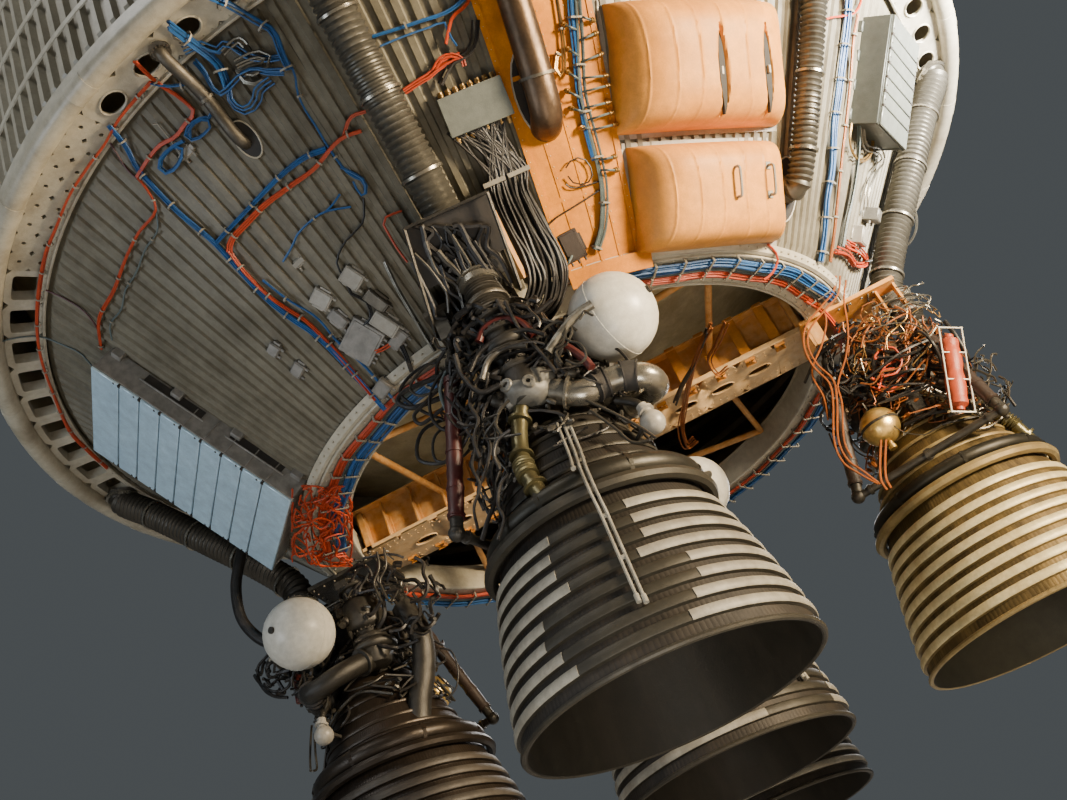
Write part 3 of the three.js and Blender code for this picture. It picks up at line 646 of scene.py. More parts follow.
    "linerDark": {"slot": "nickel", "base": (0.0121, 0.0099, 0.0072), "stain": (0.0385, 0.0303, 0.0248),
                  "amount": 0.7, "scale": 1.6, "rough": (0.5, 0.75), "metal": 0.4},
    "linerGold": {"slot": "nickel", "base": (0.054, 0.051, 0.0347), "stain": (0.0297, 0.0276, 0.0202),
                  "amount": 0.7, "scale": 1.6, "rough": (0.5, 0.75), "metal": 0.4},
    # dark cast metal, darkened further as painted shade where the engines' tops and the duct frame lie in
    # shadow
    "castBlackAndShade": {"slot": "cast_metal", "base": (0.025, 0.0225, 0.0181), "stain": (0.011, 0.0095, 0.0076),
                  "amount": 0.7, "scale": 6.0, "grain": 0.5, "rough": (0.30, 0.56), "metal": 0.5,
                  "edge": (0.110, 0.100, 0.0808)},
    "darkTube": {"slot": "cast_metal", "base": (0.0713, 0.0651, 0.0529), "stain": (0.0279, 0.0248, 0.0192),
                 "amount": 0.7, "grain": 0.2, "rough": (0.25, 0.5), "metal": 0.6},
    "redDark": {"slot": "red_cover", "base": (0.0527, 0.0085, 0.0068), "stain": (0.0221, 0.0059, 0.0051),
                "scale": 5.0, "grain": 0.25, "rough": (0.35, 0.6)},
    "amberCable": {"slot": "orange_cable", "base": (0.26, 0.068, 0.008), "stain": (0.12, 0.030, 0.006),
                   "rough": (0.35, 0.6)},
    "tube": {"slot": "cast_metal", "base": (0.195, 0.184, 0.153), "stain": (0.075, 0.0675, 0.0509),
             "amount": 0.7, "grain": 0.2, "rough": (0.25, 0.5), "metal": 0.8},
}


# makeLook: a material from one row of the table, on Object coordinates or on the local attribute
def makeLook(name, row):
    material = bpy.data.materials.new(name)
    material.use_nodes = True
    tree = material.node_tree
    surface = tree.nodes["Principled BSDF"]
    where = put(tree, "ShaderNodeTexCoord")["Object"]
    if "tubes" in row:
        where = put(tree, "ShaderNodeAttribute", attribute_name="local")["Vector"]
    aged = put(tree, "ShaderNodeGroup", {
        "Vector": where, "Base": (*row["base"], 1), "Stain": (*row["stain"], 1), "Amount": row["amount"],
        "Scale": row["scale"], "Grain": row["grain"]}, node_tree=groups["aged"])
    colour, height = aged["Color"], aged["Height"]
    for kind, label in (("streak", "streaks"), ("edge", "edge")):
        if kind in row:
            mask = put(tree, "ShaderNodeGroup", {"Vector": where}, node_tree=groups[label])["Mask"]
            share = maths(tree, "MULTIPLY", mask, 0.55 if kind == "streak" else 0.8)
            colour = blendColours(tree, share, colour, (*row[kind], 1))
    if "tubes" in row:
        ridge = put(tree, "ShaderNodeGroup", {"Vector": where, "Count": row["tubes"]},
                    node_tree=groups["tubes"])[0]
        height = maths(tree, "ADD", height, maths(tree, "MULTIPLY", ridge, 0.3))
        # painted shade: the colour darkens in the grooves between the tubes and lightens a little on their
        # crowns, a painted highlight
        colour = blendColours(tree, 1.0, colour, spread(tree, ridge, 0.0, 0.6, 0.84, 1.04), "MULTIPLY")
    tree.links.new(colour, surface.inputs["Base Color"])
    rough = spread(tree, aged["Wear"], 0.0, 1.0, *row["rough"])
    tree.links.new(rough, surface.inputs["Roughness"])
    bump = put(tree, "ShaderNodeBump", {"Strength": 0.35, "Distance": 0.01, "Height": height})[0]
    tree.links.new(bump, surface.inputs["Normal"])
    surface.inputs["Metallic"].default_value = row["metal"]
    surface.inputs["Specular IOR Level"].default_value = row["shine"]
    return material


materials = {name: makeLook(name, {**usualLook, **row}) for name, row in looks.items()}
print("stage: materials")


# Skirt and tank

# fluted: a shell of revolution with raised stringers. Each stringer is a trapezoid: its lift is 1 on
# the crown and 0 past the foot; every row adds its own share of that lift to its base.
def fluted(rows, count, crown, foot, height, placeOf):
    pitch = 360 / count
    offsets = np.array([-foot, -crown, crown, foot]) * pitch / 2
    azimuth = (np.arange(count)[:, None] * pitch + offsets).ravel()[None, :]
    lift = np.tile([0.0, 1.0, 1.0, 0.0], count)[None, :] * height
    rows = np.asarray(rows, float)
    verts = placeOf(azimuth, rows[:, :1], rows[:, 1:2] + rows[:, 2:] * lift)
    return verts.reshape(-1, 3), gridQuads(len(rows), azimuth.size, True)


# The skirt: crown and foot are the stringers' widths as shares of their pitch, frames the straps' heights
skirt = {"radius": 4.960, "wall": 0.050, "top": -0.132, "bottom": -2.141, "stringers": 216, "height": 0.052,
         "crown": 0.30, "foot": 0.52, "frames": (-0.55, -1.08, -1.62), "boltRadius": 4.997, "bolts": 216}


# makeSkirt: the ribbed skirt and its straps, and the forward ring with nuts and lugs
def makeSkirt():
    s = skirt
    rows = [(s["bottom"], 0, 0), (s["bottom"] + 0.03, 0, 0), (s["bottom"] + 0.08, 0, 1),
            (s["top"] - 0.08, 0, 1), (s["top"] - 0.03, 0, 0), (s["top"], 0, 0), (s["top"], -s["wall"], 0),
            (s["bottom"], -s["wall"], 0)]
    onSkirt = lambda a, z, lift: polar(a, s["radius"] + lift, z)
    shell = fluted(rows, s["stringers"], s["crown"], s["foot"], s["height"], onSkirt)
    piece("aft_skirt_shell", [shell], "skirtPaint", replaces=["aft_skirt"])
    edge = ((5.006, -0.03), (5.018, -0.026), (5.018, 0.026), (5.006, 0.03))
    straps = [turned([(r, z + dz) for r, dz in edge], 144, True) for z in s["frames"]]
    piece("skirt_straps", straps, "rimPaint")
    ring = [(4.862, -0.13), (4.862, -0.002), (4.87, 0), (5.02, 0), (5.03, -0.01), (5.03, -0.045),
            (5.018, -0.055), (5.018, -0.118), (5.01, -0.13)]
    a = np.arange(s["bolts"]) * 360 / s["bolts"]
    nuts = bolts(polar(a, s["boltRadius"], -0.1305), (0, 0, -1), 0.012, 0.014)
    lugs = roundCopies(block((-0.06, -4.962, -0.20), (0.06, -4.905, -0.128), 0.006),
                       np.arange(24) * 15 + 3.75)
    piece("forward_ring_detail", [turned(ring, 144, True), nuts, lugs], "rimPaint",
          replaces=["forward_ring"])


# The oxidiser tank: upper and lower are the heights of its domes
tank = {"radius": 4.858, "upper": 3.098, "lower": 3.448, "gores": 24, "manhole": 0.46}


# makeTank: the oxidiser tank's domes, welts and manhole
def makeTank():
    t = tank
    a = np.radians(np.linspace(-90, 90, 73))
    rise = np.where(a < 0, t["lower"], t["upper"])
    shell = turned(np.stack([t["radius"] * np.cos(a), rise * np.sin(a)], -1), 120)
    # gore: a low welt up the dome along one meridian, a half round carried along the ellipse
    b = np.radians(np.linspace(3, 78, 30))
    line = np.stack([0 * b, -(t["radius"] - 0.004) * np.cos(b), (t["upper"] - 0.004) * np.sin(b)], -1)
    welts = roundCopies(swept(line, 0.022, 6), np.arange(t["gores"]) * 360 / t["gores"])
    rings = [hoop(t["radius"] * np.cos(v), t["upper"] * np.sin(v) - 0.004, 0.024, 120, 6)
             for v in np.radians((24, 50, 76))]
    piece("tank_shell", [shell, welts, *rings], "foam", replaces=["oxidiser_tank"])
    m, top = t["manhole"], t["upper"] - 0.075
    lid = turned([(0, top), (m, top), (m, top + 0.06), (m - 0.03, top + 0.068), (0.2, top + 0.072),
                  (0, top + 0.073)], 72)
    a = np.arange(36) * 10
    studs = bolts(polar(a, m - 0.045, top + 0.062), (0, 0, 1), 0.014, 0.012)
    piece("tank_manhole", [lid, studs], "plate")


makeSkirt()
makeTank()

# The aft flange: a web with pockets, ovals or small holes in it, a rounded rim and an inner lip.
# The ranges are azimuths of the plain plates and of the parts with ovals.
flange = {"low": 4.520, "high": 4.850, "sectors": 72, "thick": 0.030, "plates": (-45, -25),
          "ovals": ((-25, 0), (62, 102)), "rim": 4.940, "rimRound": 0.090, "pocket": (1.72, 0.105),
          "oval": (1.45, 0.088), "hole": (0.22, 0.018)}


# makeFlange: the cells of the web, the rim with its splices, and the inner lip
def makeFlange():
    f = flange
    step = 360 / f["sectors"]
    azimuth = (np.arange(f["sectors"]) + 0.5) * step
    azimuth = np.where(azimuth > 180, azimuth - 360, azimuth)
    plate = (azimuth > f["plates"][0]) & (azimuth < f["plates"][1])
    oval = np.zeros(len(azimuth), bool)
    for low, high in f["ovals"]:
        oval |= (azimuth > low) & (azimuth < high)
    plain = ~plate & ~oval
    middle, half = (f["low"] + f["high"]) / 2, (f["high"] - f["low"]) / 2
    # onWeb: a part drawn in azimuth, radius and height, put in metres
    onWeb = lambda part: (polar(part[0][:, 0], part[0][:, 1], part[0][:, 2]), part[1])
    bottom, top = flangeZ, flangeZ + f["thick"]

    # cells: plates with one hole each, at the middles of the chosen sectors moved by each shift
    def cells(choice, hole, power, halves=(step / 2, half), shift=((0, 0),)):
        centres = np.concatenate([np.column_stack([azimuth[choice] + x, np.full(choice.sum(), middle + y)])
                                  for x, y in shift])
        return onWeb(holedPlates(centres, np.multiply(halves, 0.999), hole, bottom, top, power))

    quarter = [(x * step / 4, y * half / 2) for x in (-1, 1) for y in (-1, 1)]
    parts = [cells(plain, f["pocket"], 9.0), cells(oval, f["oval"], 2.4)]
    piece("flange_plates", [cells(plate, f["hole"], 2.0, (step / 4, half / 2), quarter)], "rimPlain")
    # each pocket's edge is drawn up into a wall, and each oval gets a round lip
    walls = holedPlates(np.column_stack([azimuth[plain], np.full(plain.sum(), middle)]),
                        (f["pocket"][0] + 0.12, f["pocket"][1] + 0.010), f["pocket"], top - 0.004,
                        top + 0.075, 9.0)
    parts.append(onWeb(walls))
    a = circle(16)
    for mid in azimuth[oval]:
        lip = polar(mid + f["oval"][0] * np.cos(a), middle + f["oval"][1] * np.sin(a), bottom - 0.004)
        parts.append(swept(np.vstack([lip, lip[:2]]), 0.010, 4))
    piece("flange_web", parts, "rimPaint", replaces=["skirt_flange"])
    rim = np.vstack([[(4.846, top), (4.846, bottom - 0.004)],
                     arcPoints(f["rim"], flangeZ, f["rimRound"], 180, 360, 20),
                     [(5.03, -2.143), (4.852, -2.143)]])
    splices = roundCopies(lofted([polar(t, f["rim"] + 0.094 * np.cos(a),
                                        flangeZ + 0.094 * np.minimum(np.sin(a), 0.3))
                                  for t in (-1.1, -1.0, 1.0, 1.1)]), np.arange(24) * 15 + 7.5)
    studs = bolts(polar(np.arange(288) * 1.25, 4.862, bottom - 0.006), (0, 0, -1), 0.011, 0.010)
    piece("flange_rim", [turned(rim, 144, True), splices, studs], "rimPaint")
    lip = [(4.512, bottom + 0.02), (4.512, bottom - 0.035), (4.524, bottom - 0.040), (4.536, bottom - 0.035),
           (4.536, bottom + 0.02)]
    studs = bolts(polar(np.arange(360), 4.548, bottom), (0, 0, -1), 0.008, 0.008)
    piece("flange_lip", [turned(lip, 180, True), studs], "rimPaint")


makeFlange()
print("stage: skirt, tank and flange")

# The thrust cone: stringers outside, as on the skirt, and three frames inside at slope distances
cone = {"stringers": 206, "crown": 0.40, "foot": 0.60, "height": 0.024, "wall": 0.060,
        "frames": (0.55, 1.25, 1.95)}


# makeCone: the ribbed shell, its inner frames and the strap round its foot
def makeCone():
    c = cone
    end = coneLength - 0.002
    rows = [(0.058, 0, 0), (0.10, 0, 0), (0.16, 0, 1), (end - 0.10, 0, 1), (end - 0.05, 0, 0), (end, 0, 0),
            (end, -c["wall"], 0), (0.058, -c["wall"], 0)]
    shell = fluted(rows, c["stringers"], c["crown"], c["foot"], c["height"], onCone)
    piece("thrust_cone_shell", [shell], "conePaint", replaces=["thrust_cone"])
    frames = []
    for slope in c["frames"]:
        r, z = coneFoot + slope * coneSin - 0.082, ringZ + slope * coneCos
        frames.append(turned([(r, z - 0.015), (r, z + 0.015), (r - 0.16, z + 0.015), (r - 0.16, z + 0.06),
                              (r - 0.175, z + 0.06), (r - 0.175, z - 0.015)], 144, True))
    inner = roundCopies(block((-0.012, -2.70, ringZ + 0.05), (0.012, -2.40, ringZ + 0.30), 0.003),
                        np.arange(48) * 7.5)
    piece("cone_frames", [*frames, inner], "innerPaint")
    # edge angle at the foot: a strap with bolts
    base = coneFoot + 0.020
    strap = [(base, ringZ + 0.002), (base + 0.030, ringZ + 0.004), (base + 0.072, ringZ + 0.060),
             (base + 0.058, ringZ + 0.066), (base + 0.010, ringZ + 0.020)]
    studs = bolts(polar(np.arange(180) * 2, base + 0.053, ringZ + 0.032), (0, 0, -1), 0.010, 0.010)
    piece("cone_foot_strap", [turned(strap, 144, True), studs], "rimPaint")


makeCone()

# The lower ring: a flat web with an upturned lip and bolts
lowerRing = {"inner": 2.332, "outer": 2.672, "web": 0.040, "lip": 0.260, "bolts": 144}


# makeLowerRing: the ring's web, its two lips and bolts
def makeLowerRing():
    g = lowerRing
    i, o, z = g["inner"], g["outer"], ringZ
    web = [(i, z + 0.008), (i + 0.008, z), (o - 0.008, z), (o, z + 0.008), (o, z + g["web"]),
           (i + 0.03, z + g["web"]), (i + 0.03, z + g["lip"]), (i - 0.004, z + g["lip"]),
           (i - 0.004, z + g["lip"] - 0.03), (i, z + g["lip"] - 0.034)]
    lip = hoop(i + 0.010, z - 0.004, 0.015, 144, 6)
    outerLip = hoop(o - 0.012, z - 0.003, 0.011, 144, 6)
    a = np.arange(g["bolts"]) * 360 / g["bolts"]
    studs = bolts(np.vstack([polar(a, i + 0.045, z), polar(a + 1.2, o - 0.045, z)]),
                  (0, 0, -1), 0.010, 0.009)
    piece("lower_ring_web", [turned(web, 144, True), lip, outerLip, studs], "rimPaint",
          replaces=["lower_ring"])


makeLowerRing()

# The beam: four arms of two webs between flanges; ovals lighten the lower flange
beam = {"half": 0.300, "height": 0.460, "reach": 2.302, "webAt": 0.19, "hub": 0.36,
        "holes": (0.62, 1.00, 1.38, 1.76), "hole": (0.115, 0.065), "cell": 0.19}


# makeBeam: an arm drawn along +X and turned to four, the hub, and struts between the arms
def makeBeam():
    b = beam
    z0, z1 = ringZ, ringZ + b["height"]
    arm, pale = [], []
    for side in (-1, 1):
        y = side * b["webAt"]
        arm.append(block((b["hub"], y - 0.008, z0 + 0.01), (b["reach"], y + 0.008, z1 - 0.01), 0.003))
        for x in np.arange(0.5, 2.3, 0.30):
            arm.append(block((x - 0.010, y, z0 + 0.012), (x + 0.010, side * (b["half"] - 0.015), z1 - 0.012),
                             0.003))
            arm.append(block((x - 0.035, y + side * 0.006, z0 + 0.012),
                             (x + 0.035, y + side * 0.014, z1 - 0.012), 0.003))
    for x in np.arange(0.65, 2.3, 0.60):
        arm.append(block((x - 0.008, -b["webAt"], z0 + 0.012), (x + 0.008, b["webAt"], z1 - 0.10), 0.003))
    centres = [(x, 0) for x in b["holes"]]
    plate = holedPlates(centres, (b["cell"], b["half"]), b["hole"], z0, z0 + 0.016, 2.3)
    a = np.linspace(0, 2 * np.pi, 15)
    (wide, narrow), level = b["hole"], np.full(15, z0 - 0.002)
    lips = [swept(np.stack([x + wide * np.cos(a), narrow * np.sin(a), level], -1), 0.008, 4)
            for x in b["holes"]]
    pale += [plate, *lips, block((1.95, -b["half"], z0), (b["reach"], b["half"], z0 + 0.016), 0.003),
             block((b["hub"] - 0.02, -b["half"], z0), (0.43, b["half"], z0 + 0.016), 0.003)]
    pale += [block((b["hub"], side * b["half"] - 0.012, z0), (b["reach"], side * b["half"], z0 + 0.05),
                   0.003) for side in (-1, 1)]
    x = np.arange(0.42, 2.28, 0.075)
    rivets = np.vstack([np.column_stack([x, 0 * x + y, 0 * x + z0]) for y in (-0.255, -0.19, 0.19, 0.255)])
    pale.append(bolts(rivets, (0, 0, -1), 0.008, 0.006))
    arm.append(block((b["hub"], -b["half"], z1 - 0.016), (b["reach"], b["half"], z1), 0.003))
    arm.append(block((2.20, -0.30, z0 + 0.01), (2.26, 0.30, z1 - 0.05), 0.004))
    quarters = np.arange(4) * 90
    hub = [slab(b["hub"], b["hub"], z0, z0 + 0.030, 0.006),
           slab(b["hub"] - 0.02, b["hub"] - 0.02, z0 + 0.02, z1, 0.006)]
    piece("beam_webs", [roundCopies(part, quarters) for part in arm] + hub, "beamPrimer",
          replaces=["engine_beam"])
    piece("beam_flanges", [roundCopies(part, quarters) for part in pale], "beamPale")
    # pale diagonal struts between the arms, carried by the lower ring's lip
    struts = []
    for azimuth in (45, 135, 225, 315):
        start = polar(azimuth, 2.31, ringZ + 0.20)
        for turn in (-1, 1):
            end = polar(azimuth + turn * 45, 1.25, ringZ + 0.25) + polar(azimuth, 0.20, 0)
            struts.append(rod(start, end, 0.032, 12))
    piece("beam_struts", struts, "beamPrimer")


makeBeam()
print("stage: cone, lower ring and beam")

# Equipment boxes, fitted to the photograph: x runs round the cone, y up its slope, z out.
# at is (azimuth, slope), half the half width and half length, panels the count of the face's panels.
boxes = {
    "left": {"node": "equipment_box_left", "at": (-62.2, 1.185), "twist": -9.0, "half": (0.72, 1.015),
             "depth": 0.21, "panels": 9, "body": "boxGrey", "face": "panel"},
    # the right box's body is darkened as painted shade
    "right": {"node": "equipment_box_right", "at": (73.9, 1.957), "twist": 8.3, "half": (0.36, 0.497),
              "depth": 0.285, "panels": 7, "body": "boxPaintedShade", "face": "boxPale"},
}


# makeBox: an equipment box with its face, feet and side slots
def makeBox(name, b):
    (hx, hy), depth = b["half"], b["depth"]
    body = [block((-hx + 0.02, -hy + 0.02, -0.07), (hx - 0.02, hy - 0.02, depth - 0.030), 0.006),
            slab(hx, hy, depth - 0.045, depth - 0.022, 0.004)]
    width = np.ones(b["panels"])
    width[[0, -1]] = 1.4
    edges = -hy + 2 * hy * np.concatenate([[0], np.cumsum(width)]) / width.sum()
    face, heads = [], []
    for low, high in zip(edges[:-1], edges[1:]):
        face.append(block((-hx + 0.004, low + 0.006, depth - 0.022), (hx - 0.004, high - 0.006, depth),
                          0.005))
        x = np.linspace(-hx + 0.05, hx - 0.05, int(hx * 14))
        for y in (low + 0.022, high - 0.022):
            heads.append(np.column_stack([x, np.full(len(x), y), np.full(len(x), depth - 0.001)]))
    face.append(bolts(np.vstack(heads), (0, 0, 1), 0.006, 0.003))
    # smooth side sheets with two long openings at the foot, cell walls at one end, and clips where two
    # panels meet; the openings are filled with near-black blocks as painted shade, the clips are dark parts
    dark = []
    for side in (-1, 1):
        body.append(block((side * hx - 0.022, -hy + 0.01, -0.05),
                          (side * hx - 0.002, hy - 0.01, depth - 0.03), 0.004))
        for y in edges[1:6] - 0.01:
            body.append(block((side * hx - 0.02, y - 0.005, -0.02),
                              (side * hx + 0.006, y + 0.005, depth - 0.04), 0.002))
        for low, high in ((-0.78, -0.26), (0.02, 0.60)):
            dark.append(block((side * hx - 0.010, low * hy, -0.035), (side * hx + 0.003, high * hy, 0.045),
                              0.012))
            body.append(block((side * hx - 0.012, low * hy - 0.03, 0.045),
                              (side * hx + 0.014, high * hy + 0.03, 0.056), 0.003))
        for y in edges[1:-1]:
            dark.append(block((side * (hx - 0.020) - 0.016, y - 0.014, depth - 0.03),
                              (side * (hx - 0.020) + 0.016, y + 0.014, depth + 0.004), 0.003))
            dark.append(block((side * (hx - 0.020) - 0.012, y + 0.045, depth - 0.03),
                              (side * (hx - 0.020) + 0.012, y + 0.062, depth + 0.003), 0.003))
    feet = [block((x - 0.04, y - 0.05, -0.08), (x + 0.04, y + 0.05, 0.02), 0.006)
            for x in (-hx - 0.01, hx + 0.01) for y in np.linspace(-hy + 0.1, hy - 0.1, 4)]
    (azimuth, slope), twist = b["at"], b["twist"]
    piece(f"box_{name}_body", seated(body + feet, azimuth, slope, twist), b["body"])
    piece(f"box_{name}_face", seated(face, azimuth, slope, twist), b["face"], replaces=[b["node"]])
    # painted shade in the side openings, with the dark clips
    piece(f"box_{name}_slots", seated(dark, azimuth, slope, twist), "dark")


for name, row in boxes.items():
    makeBox(name, row)

# Moulded covers. Their height is a product of two superellipse arcs, low over the corners and steep at
# the edges, less the cone's own curve; seams are raised welts, slots are lens-shaped hollows.
covers = {
    "outboard": {"node": "cover_outboard", "at": (37.35, 1.439), "twist": 2.7, "half": (0.752, 0.480),
                 "depth": 0.40, "seams": np.linspace(-0.62, 0.62, 7),
                 "slots": ((-0.02, -0.10, 0.34), (0.42, -0.10, 0.34)), "handles": ()},
    "inboard": {"node": "cover_inboard", "at": (37.9, 0.455), "twist": 2.2, "half": (0.666, 0.400),
                "depth": 0.38, "seams": np.linspace(-0.50, 0.50, 6), "slots": (),
                "handles": ((0.02, 0.06), (0.34, 0.06))},
}


# makeCover: a moulded cover with its seams, slots, handles and edge strip
def makeCover(name, c):
    (hx, hy), depth, radius = c["half"], c["depth"], coneFoot + c["at"][1] * coneSin
    u = np.sin(np.linspace(-np.pi / 2, np.pi / 2, 201))
    v = np.sin(np.linspace(-np.pi / 2, np.pi / 2, 41))[:, None]
    rise = (1 - np.abs(u) ** 5) ** (1 / 2.6) * (1 - np.abs(v) ** 5) ** (1 / 2.6)
    x, y = hx * u + 0 * v, hy * v + 0 * u
    pinch = 0.020 * (1 - v ** 2) * np.sign(u) * np.abs(u) ** 3
    top = depth * rise - 0.35 * x ** 2 / radius
    for seam in c["seams"]:
        near = (x - seam - 0.05 * (y / hy) ** 2 * np.sign(seam)) / 0.007
        top = top + 0.007 * np.exp(-near ** 2) * (rise > 0.05)
    hollow = np.zeros_like(top)
    for sx, sy, reach in c["slots"]:
        width = 0.036 * np.clip(1 - ((y - sy) / reach) ** 2, 1e-4, 1)
        hollow = np.maximum(hollow, np.clip(1.35 - np.abs(x - sx) / width, 0, 1) * (np.abs(y - sy) < reach))
    top = top - 0.075 * hollow
    base = -0.045 - x ** 2 / (2 * radius)
    upper = np.stack([x - pinch, y, np.maximum(top, base + 0.012)], -1)
    lower = np.stack([x, y, base], -1)
    sections = np.concatenate([upper, lower[:, ::-10]], 1)
    shell = lofted(sections)
    (azimuth, slope), twist = c["at"], c["twist"]
    piece(f"cover_{name}_shell", seated([shell], azimuth, slope, twist), "cover", replaces=[c["node"]])
    trim = []
    for hxAt, hyAt in c["handles"]:
        path = smooth([(hxAt, hyAt - 0.11, depth - 0.03), (hxAt, hyAt - 0.11, depth + 0.035),
                       (hxAt, hyAt - 0.07, depth + 0.05), (hxAt, hyAt + 0.07, depth + 0.05),
                       (hxAt, hyAt + 0.11, depth + 0.035), (hxAt, hyAt + 0.11, depth - 0.03)], 6)
        trim.append(swept(path, 0.011, 8))
        trim += [block((hxAt - 0.025, hyAt + s * 0.11 - 0.03, depth - 0.035),
                       (hxAt + 0.025, hyAt + s * 0.11 + 0.03, depth - 0.012), 0.004) for s in (-1, 1)]
    for sx, sy, reach in c["slots"]:
        trim.append(block((sx - 0.010, sy - 0.03, depth - 0.10), (sx + 0.010, sy + 0.03, depth - 0.02),
                          0.003))
    # flange strip under the cover's edge, with fasteners
    loop = [(sx * (hx + 0.012), sy * (hy + 0.012)) for sx, sy in ((-1, -1), (1, -1), (1, 1), (-1, 1))]
    for (x0, y0), (x1, y1) in zip(loop, loop[1:] + loop[:1]):
        low = (min(x0, x1) - 0.022, min(y0, y1) - 0.022, 0.0)
        high = (max(x0, x1) + 0.022, max(y0, y1) + 0.022, 0.030)
        if x0 == x1:
            sink = x0 ** 2 / (2 * radius)
            trim.append(block((low[0], low[1], -sink), (high[0], high[1], 0.030 - sink), 0.004))
        else:
            t = np.linspace(-1, 1, 17)
            z = -(t * hx) ** 2 / (2 * radius)
            trim.append(lofted([[(xx, low[1], zz), (xx, high[1], zz), (xx, high[1], zz + 0.03),
                                 (xx, low[1], zz + 0.03)] for xx, zz in zip(t * (hx + 0.03), z)]))
    # painted shade: a near-black floor in each slot, a lens between two arcs, just under the hollow's
    # shoulders
    paintedShadeFloors = []
    t = np.linspace(-0.94, 0.94, 25)
    for sx, sy, reach in c["slots"]:
        bend = 0.026 * (1 - t ** 2)
        z = depth - 0.35 * sx ** 2 / radius - 0.024 - 0.03 * np.abs(t) ** 6
        paintedShadeFloors.append(lofted([[(sx - w, sy + reach * y, h), (sx + w, sy + reach * y, h),
                               (sx + w, sy + reach * y, h - 0.03), (sx - w, sy + reach * y, h - 0.03)]
                              for y, w, h in zip(t, bend + 0.001, z)]))
    if paintedShadeFloors:
        piece(f"cover_{name}_slots", seated(paintedShadeFloors, azimuth, slope, twist), "dark")
    piece(f"cover_{name}_trim", seated(trim, azimuth, slope, twist), "plate")


for name, row in covers.items():
    makeCover(name, row)
print("stage: boxes and covers")


# Ducts: ribbed hoses and smooth pipes along the cone, with clamps. rib is the pitch of a hose's ribs, 0 for
# a smooth pipe; foot is the radius where a line goes into the cone.
ducts = {
    "b": {"azimuth": 0, "look": "hose", "rib": 0.052},
    "d": {"azimuth": 90, "look": "hose", "rib": 0.052},
    # the duct under the left box is darkened as painted shade
    "a": {"azimuth": -90, "look": "hosePaintedShade", "rib": 0.052},
    "f": {"azimuth": 180, "look": "hose", "rib": 0.052},
}
lines = {
    "supply": {"node": "supply_duct", "azimuth": 16, "foot": 3.430, "radius": 0.125,
               "look": "bronze", "rib": 0},
    "vent": {"node": "vent_duct", "azimuth": 54, "foot": 3.040, "radius": 0.110,
             "look": "hose", "rib": 0.046},
    "drain": {"node": "drain_line", "azimuth": -15.4, "foot": 4.020, "radius": 0.055,
              "look": "cast", "rib": 0},
}


# collar: a square band round a path, at a distance along it
def collar(path, at, radius, width, rise, sides=24):
    place = pointOn(path, at)
    ahead = pointOn(path, at + 0.01) - place
    loop = [(radius - 0.004, -width / 2), (radius + rise, -width / 2), (radius + rise, width / 2),
            (radius - 0.004, width / 2)]
    return moved(turned(loop, sides, True), place, facing(ahead)[0])


# ringBolts: bolt heads in a circle round a path, at a distance along it
def ringBolts(path, at, ringRadius, count, head=0.008):
    place = pointOn(path, at)
    ahead = pointOn(path, at + 0.01) - place
    return bolts(ringPoints(ringRadius, count) @ facing(ahead)[0].T + place, ahead, head, 0.012)


# makeDuct: a ribbed hose or smooth pipe along a path, with clamps
def makeDuct(name, path, radius, look, rib, replaced):
    path = smooth(path, 8)
    total = lengths(path)[-1]
    if rib:
        body = [ribbed(path, radius, 0.022, rib, 22)]
    else:
        body = [swept(path, radius - 0.006, 22)]
    piece(f"duct_{name}", body, look, replaces=[replaced])
    trim = [collar(path, at, radius, 0.05, 0.010) for at in (0.03, total - 0.03)]
    trim += [collar(path, at, radius, 0.014, 0.024) for at in (0.06, total - 0.06)]
    trim += [ringBolts(path, at, radius + 0.016, 16) for at in (0.05, total - 0.08)]
    inner = np.arange(0.55, total - 0.35, 0.62)
    trim += [collar(path, at, radius, 0.022, 0.012) for at in inner]
    piece(f"duct_{name}_clamps", trim, "steel" if rib else "cast")


for name, d in ducts.items():
    beside = [(r + 0.22 * coneCos, ringZ + (r - coneFoot) / coneSlope - 0.22 * coneSin)
              for r in (4.230, 3.700, 3.250)]
    route = [(4.690, -2.2433), (4.690, -2.363), *beside, (3.155, -4.200), (3.145, -4.430)]
    makeDuct(name, [polar(d["azimuth"], r, z) for r, z in route], 0.150, d["look"], d["rib"],
             f"feed_duct_{name}")
for name, d in lines.items():
    a, s, r = d["azimuth"], (d["foot"] - coneFoot) / coneSin, d["radius"]
    route = [onCone(a, s, -0.10), onCone(a, s, 0.6 * r), onCone(a, s + 2 * r, 1.6 * r),
             onCone(a, (4.300 - coneFoot) / coneSin, 1.6 * r), polar(a, 4.700, -2.343),
             polar(a, 4.700, -2.2433)]
    makeDuct(name, route, r, d["look"], d["rib"], d["node"])
print("stage: ducts")

# Engines, drawn once in their own metres: x round the stage, -y out from it, z up from the gimbal.
# The bell's throat, bend and exit are (radius, height); its caps run from one azimuth to another.
bell = {"throat": (0.205, -0.800), "bend": (0.800, -1.720), "exit": (0.996, -3.078), "wall": 0.016,
        "tubeHeight": 0.0025, "bands": -2.076 - 0.1222 * np.arange(8), "bandHalf": 0.043, "bandRise": 0.030,
        "rings": (-1.14, -1.27, -1.40, -1.53, -1.64), "capHalf": 0.034, "capRise": 0.004,
        "capStarts": (20, 19.5, 20, 15, 31, 31, 25.5, 20.5),
        "capEnds": (343.5, 342, 342.5, 346.5, 331.5, 330, 336, 340),
        "torus": (0.715, -1.790, 0.088), "secondRing": (0.790, -1.905, 0.045)}


